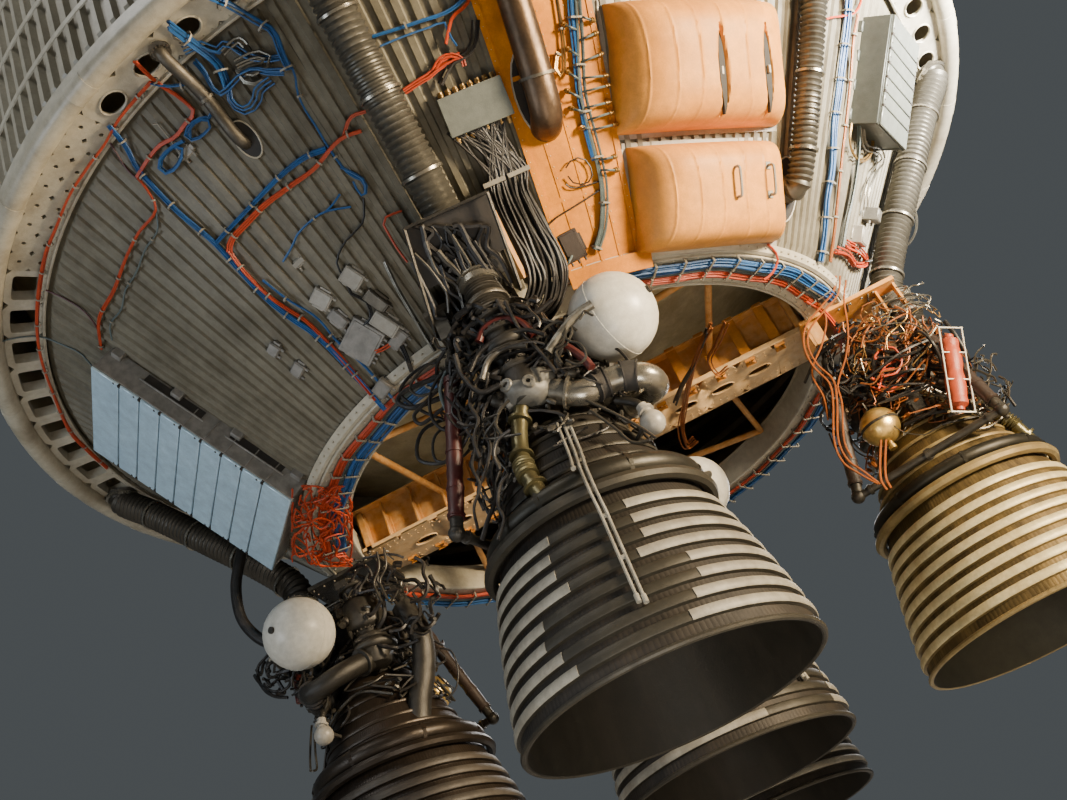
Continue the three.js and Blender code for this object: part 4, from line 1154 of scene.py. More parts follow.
# bellRadius: the bell's outside at heights, from the quadratic curve through throat, bend and exit
def bellRadius(z):
    t = np.linspace(0, 1, 400)[:, None]
    throat, bend, mouth = (np.array(bell[key]) for key in ("throat", "bend", "exit"))
    curve = (1 - t) ** 2 * throat + 2 * t * (1 - t) * bend + t ** 2 * mouth
    return np.interp(-np.asarray(z, float), -curve[:, 1], curve[:, 0])


# clearOf: the least radius that clears the bell by a gap; above the throat the throat's radius counts
def clearOf(z, gap):
    return bellRadius(np.minimum(z, bell["throat"][1])) + gap


# arcOf: a closed profile of (radius, height) carried round the axis from one azimuth to another
def arcOf(profile, start, end, steps):
    p = np.asarray(profile, float)
    a = np.linspace(start, end, steps)[:, None]
    return lofted(polar(a, p[None, :, 0], p[None, :, 1]))


# tube: a round pipe through points
def tube(points, radius, sides=8, steps=6):
    return swept(smooth(points, steps), radius, sides)


# bellParts: the bell, open below, and the chamber over its throat
def bellParts():
    b = bell
    z = np.concatenate([np.linspace(-0.80, -1.70, 9), np.linspace(-1.80, -3.070, 11)])
    inner = np.concatenate([np.linspace(-0.80, -1.70, 6), np.linspace(-1.80, -3.070, 8)])[::-1]
    profile = [np.column_stack([bellRadius(z) + b["tubeHeight"] / 2, z]),
               np.column_stack([bellRadius(inner) - b["wall"], inner])]
    shell = turned(np.vstack(profile), 112, True)
    jacket = turned([(0, -0.145), (0.145, -0.150), (0.232, -0.205), (0.262, -0.215), (0.262, -0.245),
                     (0.248, -0.250), (0.250, -0.300), (0.270, -0.305), (0.270, -0.335), (0.250, -0.340),
                     (0.250, -0.560), (0.236, -0.620), (0.220, -0.700), (0.214, -0.790), (0.226, -0.800),
                     (0.226, -0.822), (0.19, -0.822), (0.19, -0.80), (0.232, -0.56), (0.232, -0.30),
                     (0, -0.30)], 40)
    return shell, jacket


# linerPart: the bell's inner face, 1 mm inside its wall
def linerPart():
    z = np.concatenate([np.linspace(-0.80, -1.70, 6), np.linspace(-1.80, -3.074, 8)])
    r = bellRadius(z) - bell["wall"] + 0.001
    profile = np.vstack([np.column_stack([r, z]), np.column_stack([r - 0.004, z])[::-1]])
    return turned(profile, 96, True)


# bandParts: the raised bands round the bell, the caps over them and the plain rings
def bandParts():
    b = bell
    parts, caps = [], []
    for k, z in enumerate(b["bands"]):
        h, w = b["bandRise"], b["bandHalf"]
        shape = [(0.0, w), (h - 0.004, w - 0.010), (h, w - 0.018), (h, -w + 0.018),
                 (h - 0.004, -w + 0.010), (0.0, -w)]
        parts.append(turned([(bellRadius(z + dz) + dr, z + dz) for dr, dz in shape], 96, True))
        c, rise = b["capHalf"], h + b["capRise"]
        loop = [(h - 0.004, c), (rise, c - 0.010), (rise + 0.002, 0), (rise, -c + 0.010), (h - 0.004, -c)]
        caps.append(arcOf([(bellRadius(z + dz) + dr, z + dz) for dr, dz in loop], b["capStarts"][k],
                          b["capEnds"][k], 64))
    for z in b["rings"]:
        r = bellRadius(z)
        parts.append(turned([(r - 0.004, z + 0.016), (r + 0.016, z + 0.013), (r + 0.020, z),
                             (r + 0.016, z - 0.013), (r - 0.004, z - 0.016)], 64, True))
    r, z, tubeRadius = b["secondRing"]
    parts.append(hoop(r, z, tubeRadius, 96, 8))
    parts.append(hoop(bellRadius(-3.062) + 0.004, -3.062, 0.020, 96, 8))
    return parts, caps


# manifoldParts: the manifold round the bell, a torus whose tube grows by a cosine of the azimuth
def manifoldParts():
    r, z, fat = bell["torus"]
    around, across = 88, 14
    a = np.linspace(0, 360, around, endpoint=False)
    size = fat * (0.83 + 0.17 * np.cos(np.radians(a - 75)))
    t = circle(across)
    rings = polar(a[:, None], r + size[:, None] * np.cos(t), z + size[:, None] * np.sin(t))
    parts = [(rings.reshape(-1, 3), gridQuads(around, across, True, True))]
    for start in (-15, 32, 80, 128, 176, 224, 272, 320):
        grown = fat * (0.83 + 0.17 * np.cos(np.radians(start - 75))) + 0.007
        loop = np.stack([r + grown * np.cos(t[::2]), z + grown * np.sin(t[::2])], -1)
        parts.append(arcOf(loop, start - 1.1, start + 1.1, 4))
    return parts


# Stepped round housings as turned profiles: (radius, height) pairs from the top down
housings = {
    "oxidiser": {"at": (0.0, -0.475), "profile": [(0, -0.240), (0.128, -0.240), (0.150, -0.246),
        (0.150, -0.270), (0.128, -0.276), (0.124, -0.330), (0.150, -0.352), (0.158, -0.385), (0.175, -0.395),
        (0.175, -0.420), (0.158, -0.428), (0.155, -0.470), (0.170, -0.500), (0.178, -0.540), (0.170, -0.580),
        (0.140, -0.610), (0.120, -0.640), (0.120, -0.690), (0.150, -0.700), (0.165, -0.715), (0.165, -0.742),
        (0.150, -0.752), (0.158, -0.800), (0.166, -0.860), (0.160, -0.930), (0.120, -0.985),
        (0.06, -1.000), (0, -1.002)]},
    "fuel": {"at": (0.440, 0.225), "profile": [(0, -0.240), (0.128, -0.240), (0.150, -0.246),
        (0.150, -0.270), (0.126, -0.278), (0.120, -0.320), (0.135, -0.340), (0.150, -0.400), (0.170, -0.430),
        (0.172, -0.640), (0.150, -0.670), (0.118, -0.690), (0.118, -0.740), (0.150, -0.750), (0.160, -0.765),
        (0.160, -0.795), (0.150, -0.805), (0.164, -0.860), (0.160, -0.950), (0.12, -1.02),
        (0.06, -1.040), (0, -1.042)]},
}


# volute: a torus whose tube grows with the angle, like a snail's shell, ending in an outlet
def volute(at, ringRadius, z, small, large, start):
    steps = 42
    a = np.linspace(start, start + 330, steps)
    t = circle(10)
    size = np.linspace(small, large, steps)[:, None]
    out = ringRadius + 0.3 * size
    rings = polar(a[:, None], out + size * np.cos(t), z + size * np.sin(t))
    return moved(lofted(rings), (*at, 0))


# pumpParts: a pump's housing with its volute and flange bolts
def pumpParts(name):
    h = housings[name]
    at = np.array([*h["at"], 0.0])
    parts = [moved(turned(h["profile"], 32), at)]
    z = -0.540 if name == "oxidiser" else -0.86
    parts.append(volute(h["at"], 0.150, z, 0.030, 0.075, 200 if name == "oxidiser" else 20))
    for ring, height, count in ((0.140, -0.246, 20), (0.166, -0.394, 24), (0.156, -0.716, 24)):
        parts.append(bolts(ringPoints(ring, count, height) + at, (0, 0, 1), 0.009, 0.016))
    return parts


# castingParts: the turbine casing of the oxidiser pump, a ball stretched by a few cosines, with ports
def castingParts():
    around, up = 36, 19
    u = circle(around)
    v = np.linspace(-np.pi / 2, np.pi / 2, up)[:, None]
    bulge = 1 + 0.10 * np.cos(2 * u - 0.6) * np.cos(v) + 0.06 * np.cos(3 * u + 4 * v)
    x = 0.178 * bulge * np.cos(v) * np.cos(u)
    y = 0.150 * bulge * np.cos(v) * np.sin(u)
    z = 0.135 * np.sin(v) * (1 + 0.08 * np.cos(u))
    body = (np.stack([x, y, z], -1).reshape(-1, 3) + (0.02, -0.500, -0.890), gridQuads(up, around))
    ports = []
    for place, direction, radius in (((-0.10, -0.62, -0.86), (-0.3, -0.9, 0.1), 0.036),
                                     ((0.05, -0.655, -0.93), (0.1, -1, -0.2), 0.030),
                                     ((-0.155, -0.50, -0.92), (-1, -0.1, -0.1), 0.05)):
        boss = [(0, -0.05), (radius + 0.014, -0.05), (radius + 0.014, 0.006), (radius + 0.008, 0.014),
                (radius * 0.55, 0.014), (radius * 0.55, -0.03), (0, -0.03)]
        columns = facing(direction)[0]
        ports.append(moved(turned(boss, 16), place, columns))
        ports.append(bolts(ringPoints(radius + 0.004, 6, 0.012) @ columns.T + place,
                           direction, 0.006, 0.006))
    return [body, *ports]


# The duct between the pumps and the turbine's exhaust: points along them, and the distances of couplings
crossover = {"path": [(0.500, 0.180, -0.960), (0.650, 0.080, -1.020), (0.760, -0.060, -1.080),
                      (0.790, -0.200, -1.120), (0.750, -0.320, -1.110), (0.620, -0.360, -1.060),
                      (0.450, -0.392, -1.050), (0.331, -0.436, -1.070), (0.206, -0.455, -1.000),
                      (0.090, -0.470, -0.900)],
             "radius": 0.090, "couplings": (0.768, 0.975)}
exhaust = {"path": [(-0.060, -0.480, -0.940), (-0.150, -0.520, -1.150), (-0.200, -0.560, -1.350),
                    (-0.205, -0.640, -1.540), (-0.165, -0.700, -1.760)], "radius": 0.060}


# crossoverParts: the duct that joins the two pumps, and its couplings
def crossoverParts():
    c = crossover
    path = smooth(c["path"], 8)
    duct = [swept(path, c["radius"], 20)]
    joints = []
    for at in c["couplings"]:
        joints += [collar(path, at, c["radius"], 0.092, 0.014, 24),
                   collar(path, at - 0.046, c["radius"], 0.012, 0.020, 24),
                   collar(path, at + 0.046, c["radius"], 0.012, 0.020, 24)]
    total = lengths(path)[-1]
    for at in (0.10, total - 0.20):
        duct += [collar(path, at, c["radius"], 0.018, 0.030, 24),
                 ringBolts(path, at - 0.012, c["radius"] + 0.018, 16, 0.007)]
    return duct, joints


# exhaustParts: the turbine's exhaust down to the manifold, with a ribbed stretch
def exhaustParts():
    e = exhaust
    path = smooth(e["path"], 8)
    total = lengths(path)[-1]
    parts = [swept(path, e["radius"] - 0.004, 18)]
    for at in (0.16, total * 0.52, total - 0.10):
        parts += [collar(path, at, e["radius"], 0.020, 0.022, 20),
                  ringBolts(path, at - 0.014, e["radius"] + 0.012, 12, 0.006)]
    far = lengths(path)
    start = total * 0.60
    keep = (far > start) & (far < start + 0.15)
    parts.append(ribbed(path[keep], e["radius"] + 0.016, 0.020, 0.026, 18))
    return parts


# Gas bottles: centre and radius
ballTank = {"at": (0.739, -0.278, -0.546), "radius": 0.318}
bottle = {"at": (-0.480, 0.347, -1.138), "radius": 0.168}
smallBall = {"at": (0.650, -0.350, -1.460), "radius": 0.085}


# ballParts: the start tank with its seam and fittings
def ballParts():
    at, r = np.array(ballTank["at"]), ballTank["radius"]
    inward = -at * (1, 1, 0) / np.hypot(*at[:2])
    shell = [ball(at, r, 36)]
    shell.append(moved(turned([(r - 0.002, -0.004), (r + 0.0015, -0.003), (r + 0.0015, 0.003),
                               (r - 0.002, 0.004)], 56, True), at, facing(inward)[0]))
    fittings = [rod(at + inward * (r - 0.02), at + inward * (r + 0.07), 0.055, 16),
                rod(at + inward * (r + 0.02), at + inward * (r + 0.045), 0.08, 16),
                rod(at - inward * (r - 0.015), at - inward * (r + 0.018), 0.030, 16),
                rod(at, (0.255, -0.096, -0.360), 0.034, 12),
                rod(at + inward * 0.2, (0.24, -0.09, -0.56), 0.018, 10),
                turned([(0.2505, -0.40), (0.278, -0.40), (0.278, -0.32), (0.2505, -0.32)], 40, True)]
    return shell, fittings


# bottleParts: the gas bottle, the small bottle and what holds them
def bottleParts():
    at, r = np.array(bottle["at"]), bottle["radius"]
    shell = [ball(at, r, 28), rod(at + (0, 0, -r + 0.01), at + (0, 0, -r - 0.045), 0.026, 16),
             rod(at + (0, 0, -r - 0.03), at + (0, 0, -r - 0.06), 0.036, 12)]
    strap = [rod(at, (-0.21, 0.152, -0.36), 0.030, 12),
             moved(turned([(r, -0.012), (r + 0.004, -0.012), (r + 0.004, 0.012), (r, 0.012)], 40, True), at)]
    at, r = np.array(smallBall["at"]), smallBall["radius"]
    small = [ball(at, r, 24), rod(at + (0, 0, 0.06), at + (-0.02, 0.01, 0.15), 0.040, 20),
             rod(at + (-0.004, 0, 0.085), at + (-0.010, 0.005, 0.105), 0.058, 20)]
    arm = [tube([at + (-0.02, 0.01, 0.14), (0.60, -0.32, -1.25), (0.50, -0.30, -1.16)], 0.030, 12),
           rod(at + (-0.06, 0.03, 0.02), (0.46, -0.24, -1.50), 0.016, 8)]
    return shell, strap, small, arm


# Actuators: their eyes by the pad, the directions of the eyes' pins, and their feet on the chamber
actuator = {"eyes": ((-0.36, -0.36), (-0.36, 0.36)), "pins": ((0, 1), (1, 0)),
            "feet": ((-0.80, -0.47, -1.60), (-0.47, 0.80, -1.60)), "eyeZ": -0.130}


# actuatorParts: two wrapped actuators from the pad to the chamber, their ends and yoke
def actuatorParts():
    wraps, metal = [], []
    for (x, y), (ax, ay), foot in zip(actuator["eyes"], actuator["pins"], actuator["feet"]):
        eye, foot = np.array([x, y, actuator["eyeZ"]]), np.array(foot)
        at = lambda share: eye + (foot - eye) * share
        steps = np.linspace(0.22, 0.93, 24)
        wrap = 0.056 + 0.0025 * np.sin(steps * 90) + 0.002 * np.sin(steps * 41)
        wraps.append(swept(eye + (foot - eye) * steps[:, None], wrap, 14))
        for share in (0.24, 0.42, 0.60, 0.78, 0.91):
            wraps.append(rod(at(share), at(share + 0.012), 0.062, 12))
        metal += [rod(at(0), at(0.24), 0.030, 16), rod(at(0.92), foot, 0.045, 16), ball(foot, 0.058, 20),
                  rod(at(0.12), at(0.16), 0.045, 16)]
        pin = np.array([ax, ay, 0])
        metal += [rod(eye - pin * 0.038, eye + pin * 0.038, 0.042, 24),
                  rod(eye - pin * 0.04, eye + pin * 0.04, 0.024, 16)]
    a, b = np.array(actuator["feet"])
    metal += [rod(a, b, 0.034, 16), rod((-0.635, 0.165, -1.60), (-0.525, 0.136, -1.60), 0.052, 16)]
    metal += [rod(a + (b - a) * s, a + (b - a) * (s + 0.02), 0.046, 16) for s in (0.08, 0.5, 0.90)]
    return wraps, metal


# Three drain tubes down the bell, two long and one short
drainTubes = {"xs": (0.128, 0.164, 0.090), "radius": 0.011, "starts": (-1.10, -1.12, -1.22),
              "ends": (-2.70, -2.72, -1.72)}


# drainParts: the tubes follow the bell and pass over the exhaust manifold in a rounded step; four brackets
def drainParts():
    d = drainTubes
    parts = []
    for x, start, end in zip(d["xs"], d["starts"], d["ends"]):
        z = np.linspace(start, end, 16)
        r = bellRadius(z) + 0.050 + 0.095 * np.exp(-((z + 1.835) / 0.20) ** 4)
        path = polar(np.degrees(np.arcsin(x / r)), r, z)
        parts.append(swept(path, d["radius"], 6))
        last = path[-1]
        parts.append(rod(last, last + (path[-1] - path[-2]) * 0.5, d["radius"] * 1.5, 10))
    for z in (-1.30, -1.62, -2.12, -2.44):
        r = bellRadius(z) + 0.045
        ends = [polar(np.degrees(np.arcsin(x / r)), r, z) for x in (0.120, 0.172)]
        parts.append(rod(*ends, 0.016, 6))
    return parts


# turnOf: an engine's direction columns, from its azimuth
def turnOf(azimuth):
    a = np.radians(azimuth)
    return np.array([[np.cos(a), -np.sin(a), 0], [np.sin(a), np.cos(a), 0], [0, 0, 1]])


# pixelsBefore: where the rays of pixels meet an upright plane, square to Y, at a depth from an engine's
# gimbal; in that engine's metres
def pixelsBefore(pixels, depth, azimuth=0):
    d, c, place = rays(pixels), photo["place"], polar(azimuth, engineCircle, gimbalZ)
    world = c + d * ((place[1] + depth - c[1]) / d[:, 1])[:, None]
    return (world - place) @ turnOf(azimuth)


# hosesOf: the hoses of one look in a list of (look, radius, depth, pixels)
def hosesOf(rows, look, sides):
    return [swept(smooth(pixelsBefore(row[3], row[2]), 6), row[1], sides) for row in rows if row[0] == look]


# jumble: small hoses that turn at random inside an oval patch of the photograph, each at its own depth.
# A point outside the oval is drawn in towards the middle by the ratio of the two reaches to the power 0.8.
def jumble(seed, count, patch, depths, radii, azimuth, pace=11.0, bend=0.9):
    rng = np.random.default_rng(seed)
    low, high = np.array(patch[:2], float), np.array(patch[2:], float)
    parts = []
    for k in range(count):
        turn = drift(rng, (0, 6.3), (-bend, bend), 6)
        steps = np.stack([np.cos(turn), np.sin(turn)], -1) * pace * rng.uniform(0.5, 1.3)
        points = (rng.uniform(low, high) + np.cumsum(steps, 0) - (low + high) / 2) / (high - low) * 2
        reach = np.linalg.norm(points, axis=1)[:, None]
        drawn = np.minimum(1, rng.uniform(0.55, 1.15) / np.maximum(reach, 1e-6)) ** 0.8
        points = points * drawn * (high - low) / 2 + (low + high) / 2
        depth = np.clip(drift(rng, depths, (-0.04, 0.04), 6), depths[0], depths[1])
        parts.append(tube(pixelsBefore(points, depth, azimuth), rng.uniform(*radii), 5, 3))
    return parts


# Larger hoses and pipes that show in the photograph: look, radius, depth (y), pixels
hoses = [
    ("red", 0.030, -0.60, [(479, 342), (485, 329), (501, 320), (520, 322), (534, 336)]),
    ("red", 0.030, -0.56, [(557, 342), (572, 350), (584, 359), (592, 368)]),
    ("tube", 0.034, -0.62, [(548, 352), (560, 335), (575, 316), (592, 304)]),
    ("darkTube", 0.024, -0.66, [(482, 380), (489, 360), (506, 347), (527, 345)]),
    ("black", 0.016, -0.66, [(470, 372), (480, 352), (500, 338), (524, 330), (545, 334)]),
    ("black", 0.018, -0.60, [(497, 300), (507, 315), (530, 316), (552, 300)]),
    ("black", 0.020, -0.64, [(455, 355), (462, 375), (480, 392), (500, 385)]),
    ("black", 0.014, -0.64, [(505, 302), (520, 330), (540, 352), (556, 372)]),
    ("black", 0.016, -0.50, [(560, 366), (575, 362), (590, 366), (598, 372)]),
    ("darkTube", 0.010, -0.56, [(586, 400), (612, 412), (640, 427), (656, 438)]),
    ("darkTube", 0.010, -0.56, [(590, 410), (615, 428), (632, 442), (650, 440)]),
    ("black", 0.012, -0.70, [(500, 470), (494, 455), (498, 440), (510, 430)]),
]


# Hoses and loops on the left of the front engine, and on the left-hand engine, at their own depths
frontHoses = [
    ("black", 0.020, -0.30, [(452, 372), (436, 378), (420, 384), (404, 392), (398, 402), (412, 408),
                             (430, 402), (446, 396)]),
    ("black", 0.014, -0.34, [(448, 384), (436, 392), (424, 404), (414, 416), (421, 424),
                             (436, 414), (448, 404)]),
    ("black", 0.012, -0.30, [(440, 362), (424, 366), (408, 378), (400, 392), (408, 402),
                             (424, 412), (444, 420)]),
    ("black", 0.012, -0.36, [(456, 366), (440, 376), (430, 396), (432, 418), (444, 430), (456, 424)]),
    ("darkTube", 0.010, -0.36, [(446, 356), (432, 362), (418, 374), (410, 388), (420, 396),
                                (436, 390), (450, 380)]),
    ("grey", 0.012, -0.40, [(470, 350), (456, 358), (446, 372), (440, 390), (446, 410), (458, 424)]),
    ("black", 0.018, -0.50, [(480, 300), (470, 316), (462, 334), (464, 352), (476, 362), (492, 358)]),
    ("black", 0.024, -0.54, [(455, 318), (470, 308), (488, 304), (508, 308), (524, 318), (532, 332)]),
    ("black", 0.020, -0.56, [(462, 334), (478, 322), (498, 330), (512, 344), (520, 360)]),
    ("black", 0.028, -0.50, [(500, 312), (518, 306), (536, 312), (548, 326), (552, 344)]),
    ("black", 0.016, -0.58, [(530, 330), (544, 322), (556, 330), (562, 346), (556, 362), (566, 374)]),
    ("darkTube", 0.010, -0.62, [(536, 340), (548, 326), (562, 322), (572, 330), (566, 344),
                                (556, 352), (562, 364)]),
    ("darkTube", 0.009, -0.64, [(560, 330), (568, 340), (580, 344), (586, 356), (578, 364), (566, 360)]),
    ("black", 0.014, -0.60, [(484, 372), (474, 386), (470, 404), (478, 420), (474, 440), (480, 458)]),
    ("black", 0.012, -0.58, [(492, 396), (484, 410), (482, 430), (490, 446), (486, 470),
                             (478, 492), (484, 510)]),
    ("black", 0.016, -0.52, [(500, 400), (494, 424), (498, 446), (492, 470), (496, 496),
                             (488, 520), (482, 540)]),
    ("darkTube", 0.008, -0.62, [(488, 420), (496, 432), (494, 452), (500, 468), (496, 486), (502, 500)]),
    ("black", 0.010, -0.60, [(466, 430), (476, 446), (472, 466), (480, 486), (474, 508), (478, 530)]),
    ("darkTube", 0.012, -0.64, [(509, 400), (500, 410), (496, 424), (502, 436)]),
    ("black", 0.012, -0.66, [(508, 474), (500, 486), (498, 504), (504, 520), (498, 540)]),
]
# Dense small hoses where the photograph shows them: engine, look, count, patch of pixels, depths, radii
jumbles = [
    ("b", "black", 60, (446, 300, 556, 372), (-0.60, -0.38), (0.010, 0.022)),
    ("b", "darkTube", 16, (450, 305, 590, 368), (-0.64, -0.50), (0.006, 0.011)),
    ("b", "black", 34, (446, 350, 505, 430), (-0.58, -0.36), (0.008, 0.016)),
    ("b", "black", 22, (480, 420, 514, 520), (-0.56, -0.40), (0.007, 0.013)),
    ("b", "darkTube", 10, (478, 410, 512, 500), (-0.60, -0.46), (0.005, 0.008)),
    ("d", "black", 60, (818, 322, 925, 408), (-0.62, -0.34), (0.008, 0.018)),
    ("d", "copper", 54, (842, 300, 932, 402), (-0.68, -0.42), (0.004, 0.009)),
    ("d", "fitting", 26, (848, 300, 938, 380), (-0.68, -0.46), (0.004, 0.007)),
    ("d", "orange", 8, (872, 350, 908, 388), (-0.68, -0.56), (0.007, 0.012)),
    ("d", "tube", 22, (872, 290, 950, 340), (-0.60, -0.34), (0.004, 0.008)),
    ("d", "darkTube", 26, (960, 350, 1004, 430), (-0.50, -0.22), (0.005, 0.012)),
    ("d", "tube", 10, (962, 360, 1004, 425), (-0.52, -0.30), (0.004, 0.009)),
    ("d", "darkTube", 22, (930, 380, 1000, 440), (-0.60, -0.36), (0.007, 0.014)),
    ("a", "black", 34, (262, 648, 308, 694), (-0.66, -0.40), (0.008, 0.018)),
    ("a", "black", 40, (340, 560, 440, 640), (-0.60, -0.30), (0.010, 0.022)),
    ("a", "darkTube", 12, (350, 556, 400, 612), (-0.62, -0.50), (0.007, 0.012)),
]
# Single hoses before the left and right engines: engine, look, radius, depth, pixels
farHoses = [
    ("a", "black", 0.052, -0.52, [(243, 545), (241, 555), (236, 586), (241, 617), (256, 636),
                                  (274, 645), (290, 650)]),
    ("a", "black", 0.014, -0.50, [(268, 655), (258, 668), (262, 686), (278, 692), (290, 684),
                                  (286, 668), (274, 662)]),
    ("a", "darkTube", 0.012, -0.62, [(384, 548), (386, 566), (380, 580), (383, 590), (388, 600)]),
    ("a", "darkTube", 0.012, -0.62, [(377, 552), (379, 568), (374, 582), (377, 592), (382, 602)]),
    ("a", "castBlackAndShade", 0.105, -0.36, [(402, 606), (420, 632), (424, 664), (420, 700), (420, 722)]),
    ("a", "black", 0.008, -0.30, [(440, 648), (452, 652), (458, 670), (456, 688), (446, 700)]),
    ("d", "tube", 0.006, -0.70, [(866, 333), (885, 325), (905, 323), (923, 329), (930, 338), (928, 350)]),
    ("d", "tube", 0.006, -0.68, [(872, 308), (890, 300), (912, 297), (930, 296), (926, 310)]),
    ("d", "darkTube", 0.024, -0.50, [(975, 385), (986, 398), (998, 408), (1008, 418)]),
]
# Amber cables that come from the cone's foot and hang past the right-hand engine to its small bottle
amberCables = [
    (0.009, -0.74, [(836, 276), (833, 292), (820, 308), (806, 326), (804, 346), (813, 366), (829, 383),
                    (833, 402), (834, 440), (843, 462), (860, 474), (878, 484)]),
    (0.009, -0.74, [(840, 276), (838, 294), (824, 311), (810, 329), (808, 346), (817, 364), (833, 380),
                    (837, 402), (838, 438), (847, 459), (863, 471), (880, 484)]),
    (0.008, -0.72, [(846, 280), (844, 300), (848, 330), (846, 356), (838, 384), (842, 404),
                    (844, 440), (852, 458)]),
    (0.008, -0.70, [(816, 300), (826, 318), (822, 344), (812, 372), (824, 398), (828, 420)]),
    (0.010, -0.70, [(881, 440), (880, 462), (881, 480), (887, 490)]),
    (0.010, -0.70, [(886, 440), (885, 462), (886, 478), (891, 488)]),
]
leftLoops = [
    (0.014, [(-0.55, -0.20, -0.62), (-0.80, -0.28, -0.66), (-0.90, -0.30, -0.86), (-0.74, -0.30, -0.98),
             (-0.56, -0.26, -0.88)]),
    (0.010, [(-0.52, -0.26, -0.70), (-0.72, -0.34, -0.78), (-0.78, -0.34, -0.96), (-0.62, -0.32, -1.02),
             (-0.50, -0.28, -0.94)]),
    (0.011, [(0.50, -0.30, -0.70), (0.66, -0.36, -0.84), (0.68, -0.36, -1.04), (0.54, -0.34, -1.14)]),
]
valves = [(-0.42, -0.40, -0.62), (0.40, -0.42, -0.50), (-0.48, -0.30, -1.02), (0.10, -0.52, -0.52),
          (-0.20, -0.54, -0.90), (0.46, -0.36, -1.00), (-0.56, -0.08, -0.60), (-0.16, -0.46, -0.44),
          (0.30, -0.50, -0.92), (-0.36, -0.50, -1.18), (0.56, 0.10, -0.56), (-0.30, 0.50, -0.80)]


# valveParts: round bodies with a cap, a hexagon and two branches, at stated places round the chamber
def valveParts(seed):
    rng = np.random.default_rng(seed)
    body = turned([(0, -0.075), (0.026, -0.075), (0.026, -0.050), (0.040, -0.045), (0.046, -0.020),
                   (0.046, 0.022), (0.038, 0.034), (0.024, 0.038), (0.024, 0.060), (0.030, 0.062),
                   (0.030, 0.080), (0, 0.082)], 12)
    arm = rod((-0.085, 0, 0), (0.085, 0, 0), 0.018, 7)
    nuts = [rod((side * 0.060, 0, 0), (side * 0.078, 0, 0), 0.027, 6) for side in (-1, 1)]
    turns = facing(rng.normal(0, 1, (len(valves), 3)))
    return [copies(part, np.array(valves), turns) for part in (body, arm, *nuts)]


# Small tubes and wires round the chamber and pumps: how many of each kind, their radius and usual reach
clutter = {"tube": (30, 0.009, 0.46), "black": (34, 0.011, 0.50), "fitting": (12, 0.008, 0.48),
           "orange": (8, 0.009, 0.50), "grey": (10, 0.009, 0.48)}


# clutterParts: small lines that turn at random round the chamber, clear of the bell and bottles
def clutterParts(kind, seed):
    count, radius, reach = clutter[kind]
    rng = np.random.default_rng(seed)
    parts = []
    for k in range(count):
        n = rng.integers(4, 7)
        a = drift(rng, (-180, 180), (-38, 38), n)
        z = drift(rng, (-1.25, -0.32), (-0.16, 0.13), n)
        z = np.clip(z, -1.42, -0.30)
        r = np.clip(reach + drift(rng, (-0.12, 0.18), (-0.07, 0.07), n), clearOf(z, 0.06), 0.70)
        r = np.where(z > -0.8, np.maximum(r, 0.33), r)
        line, thick = smooth(polar(a, r, z), 3), radius * rng.uniform(0.7, 1.5)
        if all(np.linalg.norm(line - t["at"], axis=1).min() > t["radius"] + 0.02
               for t in (ballTank, bottle)):
            parts.append(swept(line, thick, 5))
    return parts


# fittingParts: short stepped nuts and connectors scattered on the same shell as the clutter
def fittingParts(seed, count):
    rng = np.random.default_rng(seed)
    plug = turned([(0, -0.03), (0.014, -0.03), (0.020, -0.004), (0.020, 0.010), (0.011, 0.034),
                   (0, 0.034)], 6)
    z = rng.uniform(-1.35, -0.32, count)
    r = np.maximum(rng.uniform(0.36, 0.60, count), clearOf(z, 0.08))
    places = polar(rng.uniform(-180, 180, count), r, z)
    directions = rng.normal(0, 1, (count, 3))
    return [copies(plug, places, facing(directions))]


# Equipment on the engine: small boxes and valves, (azimuth, radius, z, half sizes)
engineBoxes = [(-62, 0.37, -0.72, (0.13, 0.06, 0.16)), (-118, 0.40, -0.62, (0.10, 0.07, 0.12)),
               (150, 0.38, -0.66, (0.15, 0.07, 0.18)), (-28, 0.44, -0.42, (0.07, 0.05, 0.06)),
               (100, 0.46, -0.40, (0.08, 0.05, 0.07)), (-90, 0.50, -1.12, (0.07, 0.05, 0.10))]


# boxParts: each box with its band, lid, plugs and stay
def boxParts():
    parts, plugs = [], []
    for azimuth, r, z, (hx, hy, hz) in engineBoxes:
        shape = [slab(hx, hy, -hz, hz, 0.012),
                 block((-hx - 0.008, -hy - 0.004, hz * 0.3), (hx + 0.008, hy, hz * 0.3 + 0.02), 0.003),
                 block((-hx * 0.7, -hy - 0.012, -hz * 0.7), (hx * 0.7, -hy + 0.01, hz * 0.1), 0.006)]
        columns = turnOf(azimuth)
        parts += [moved(part, polar(azimuth, r, z), columns) for part in shape]
        for x in np.linspace(-hx * 0.6, hx * 0.6, 3):
            plugs.append(moved(rod((x, -hy * 0.3, -hz - 0.03), (x, -hy * 0.3, -hz + 0.01), 0.016, 8),
                               polar(azimuth, r, z), columns))
        parts.append(rod(polar(azimuth, r - hy * 0.5, z), polar(azimuth, 0.20, z), 0.022, 8))
    return parts, plugs


# The framed cover on the right-hand engine: a red roll in a white wire frame
framed = {"ends": [(948, 336), (960, 411)], "depth": -0.70, "radius": 0.084}


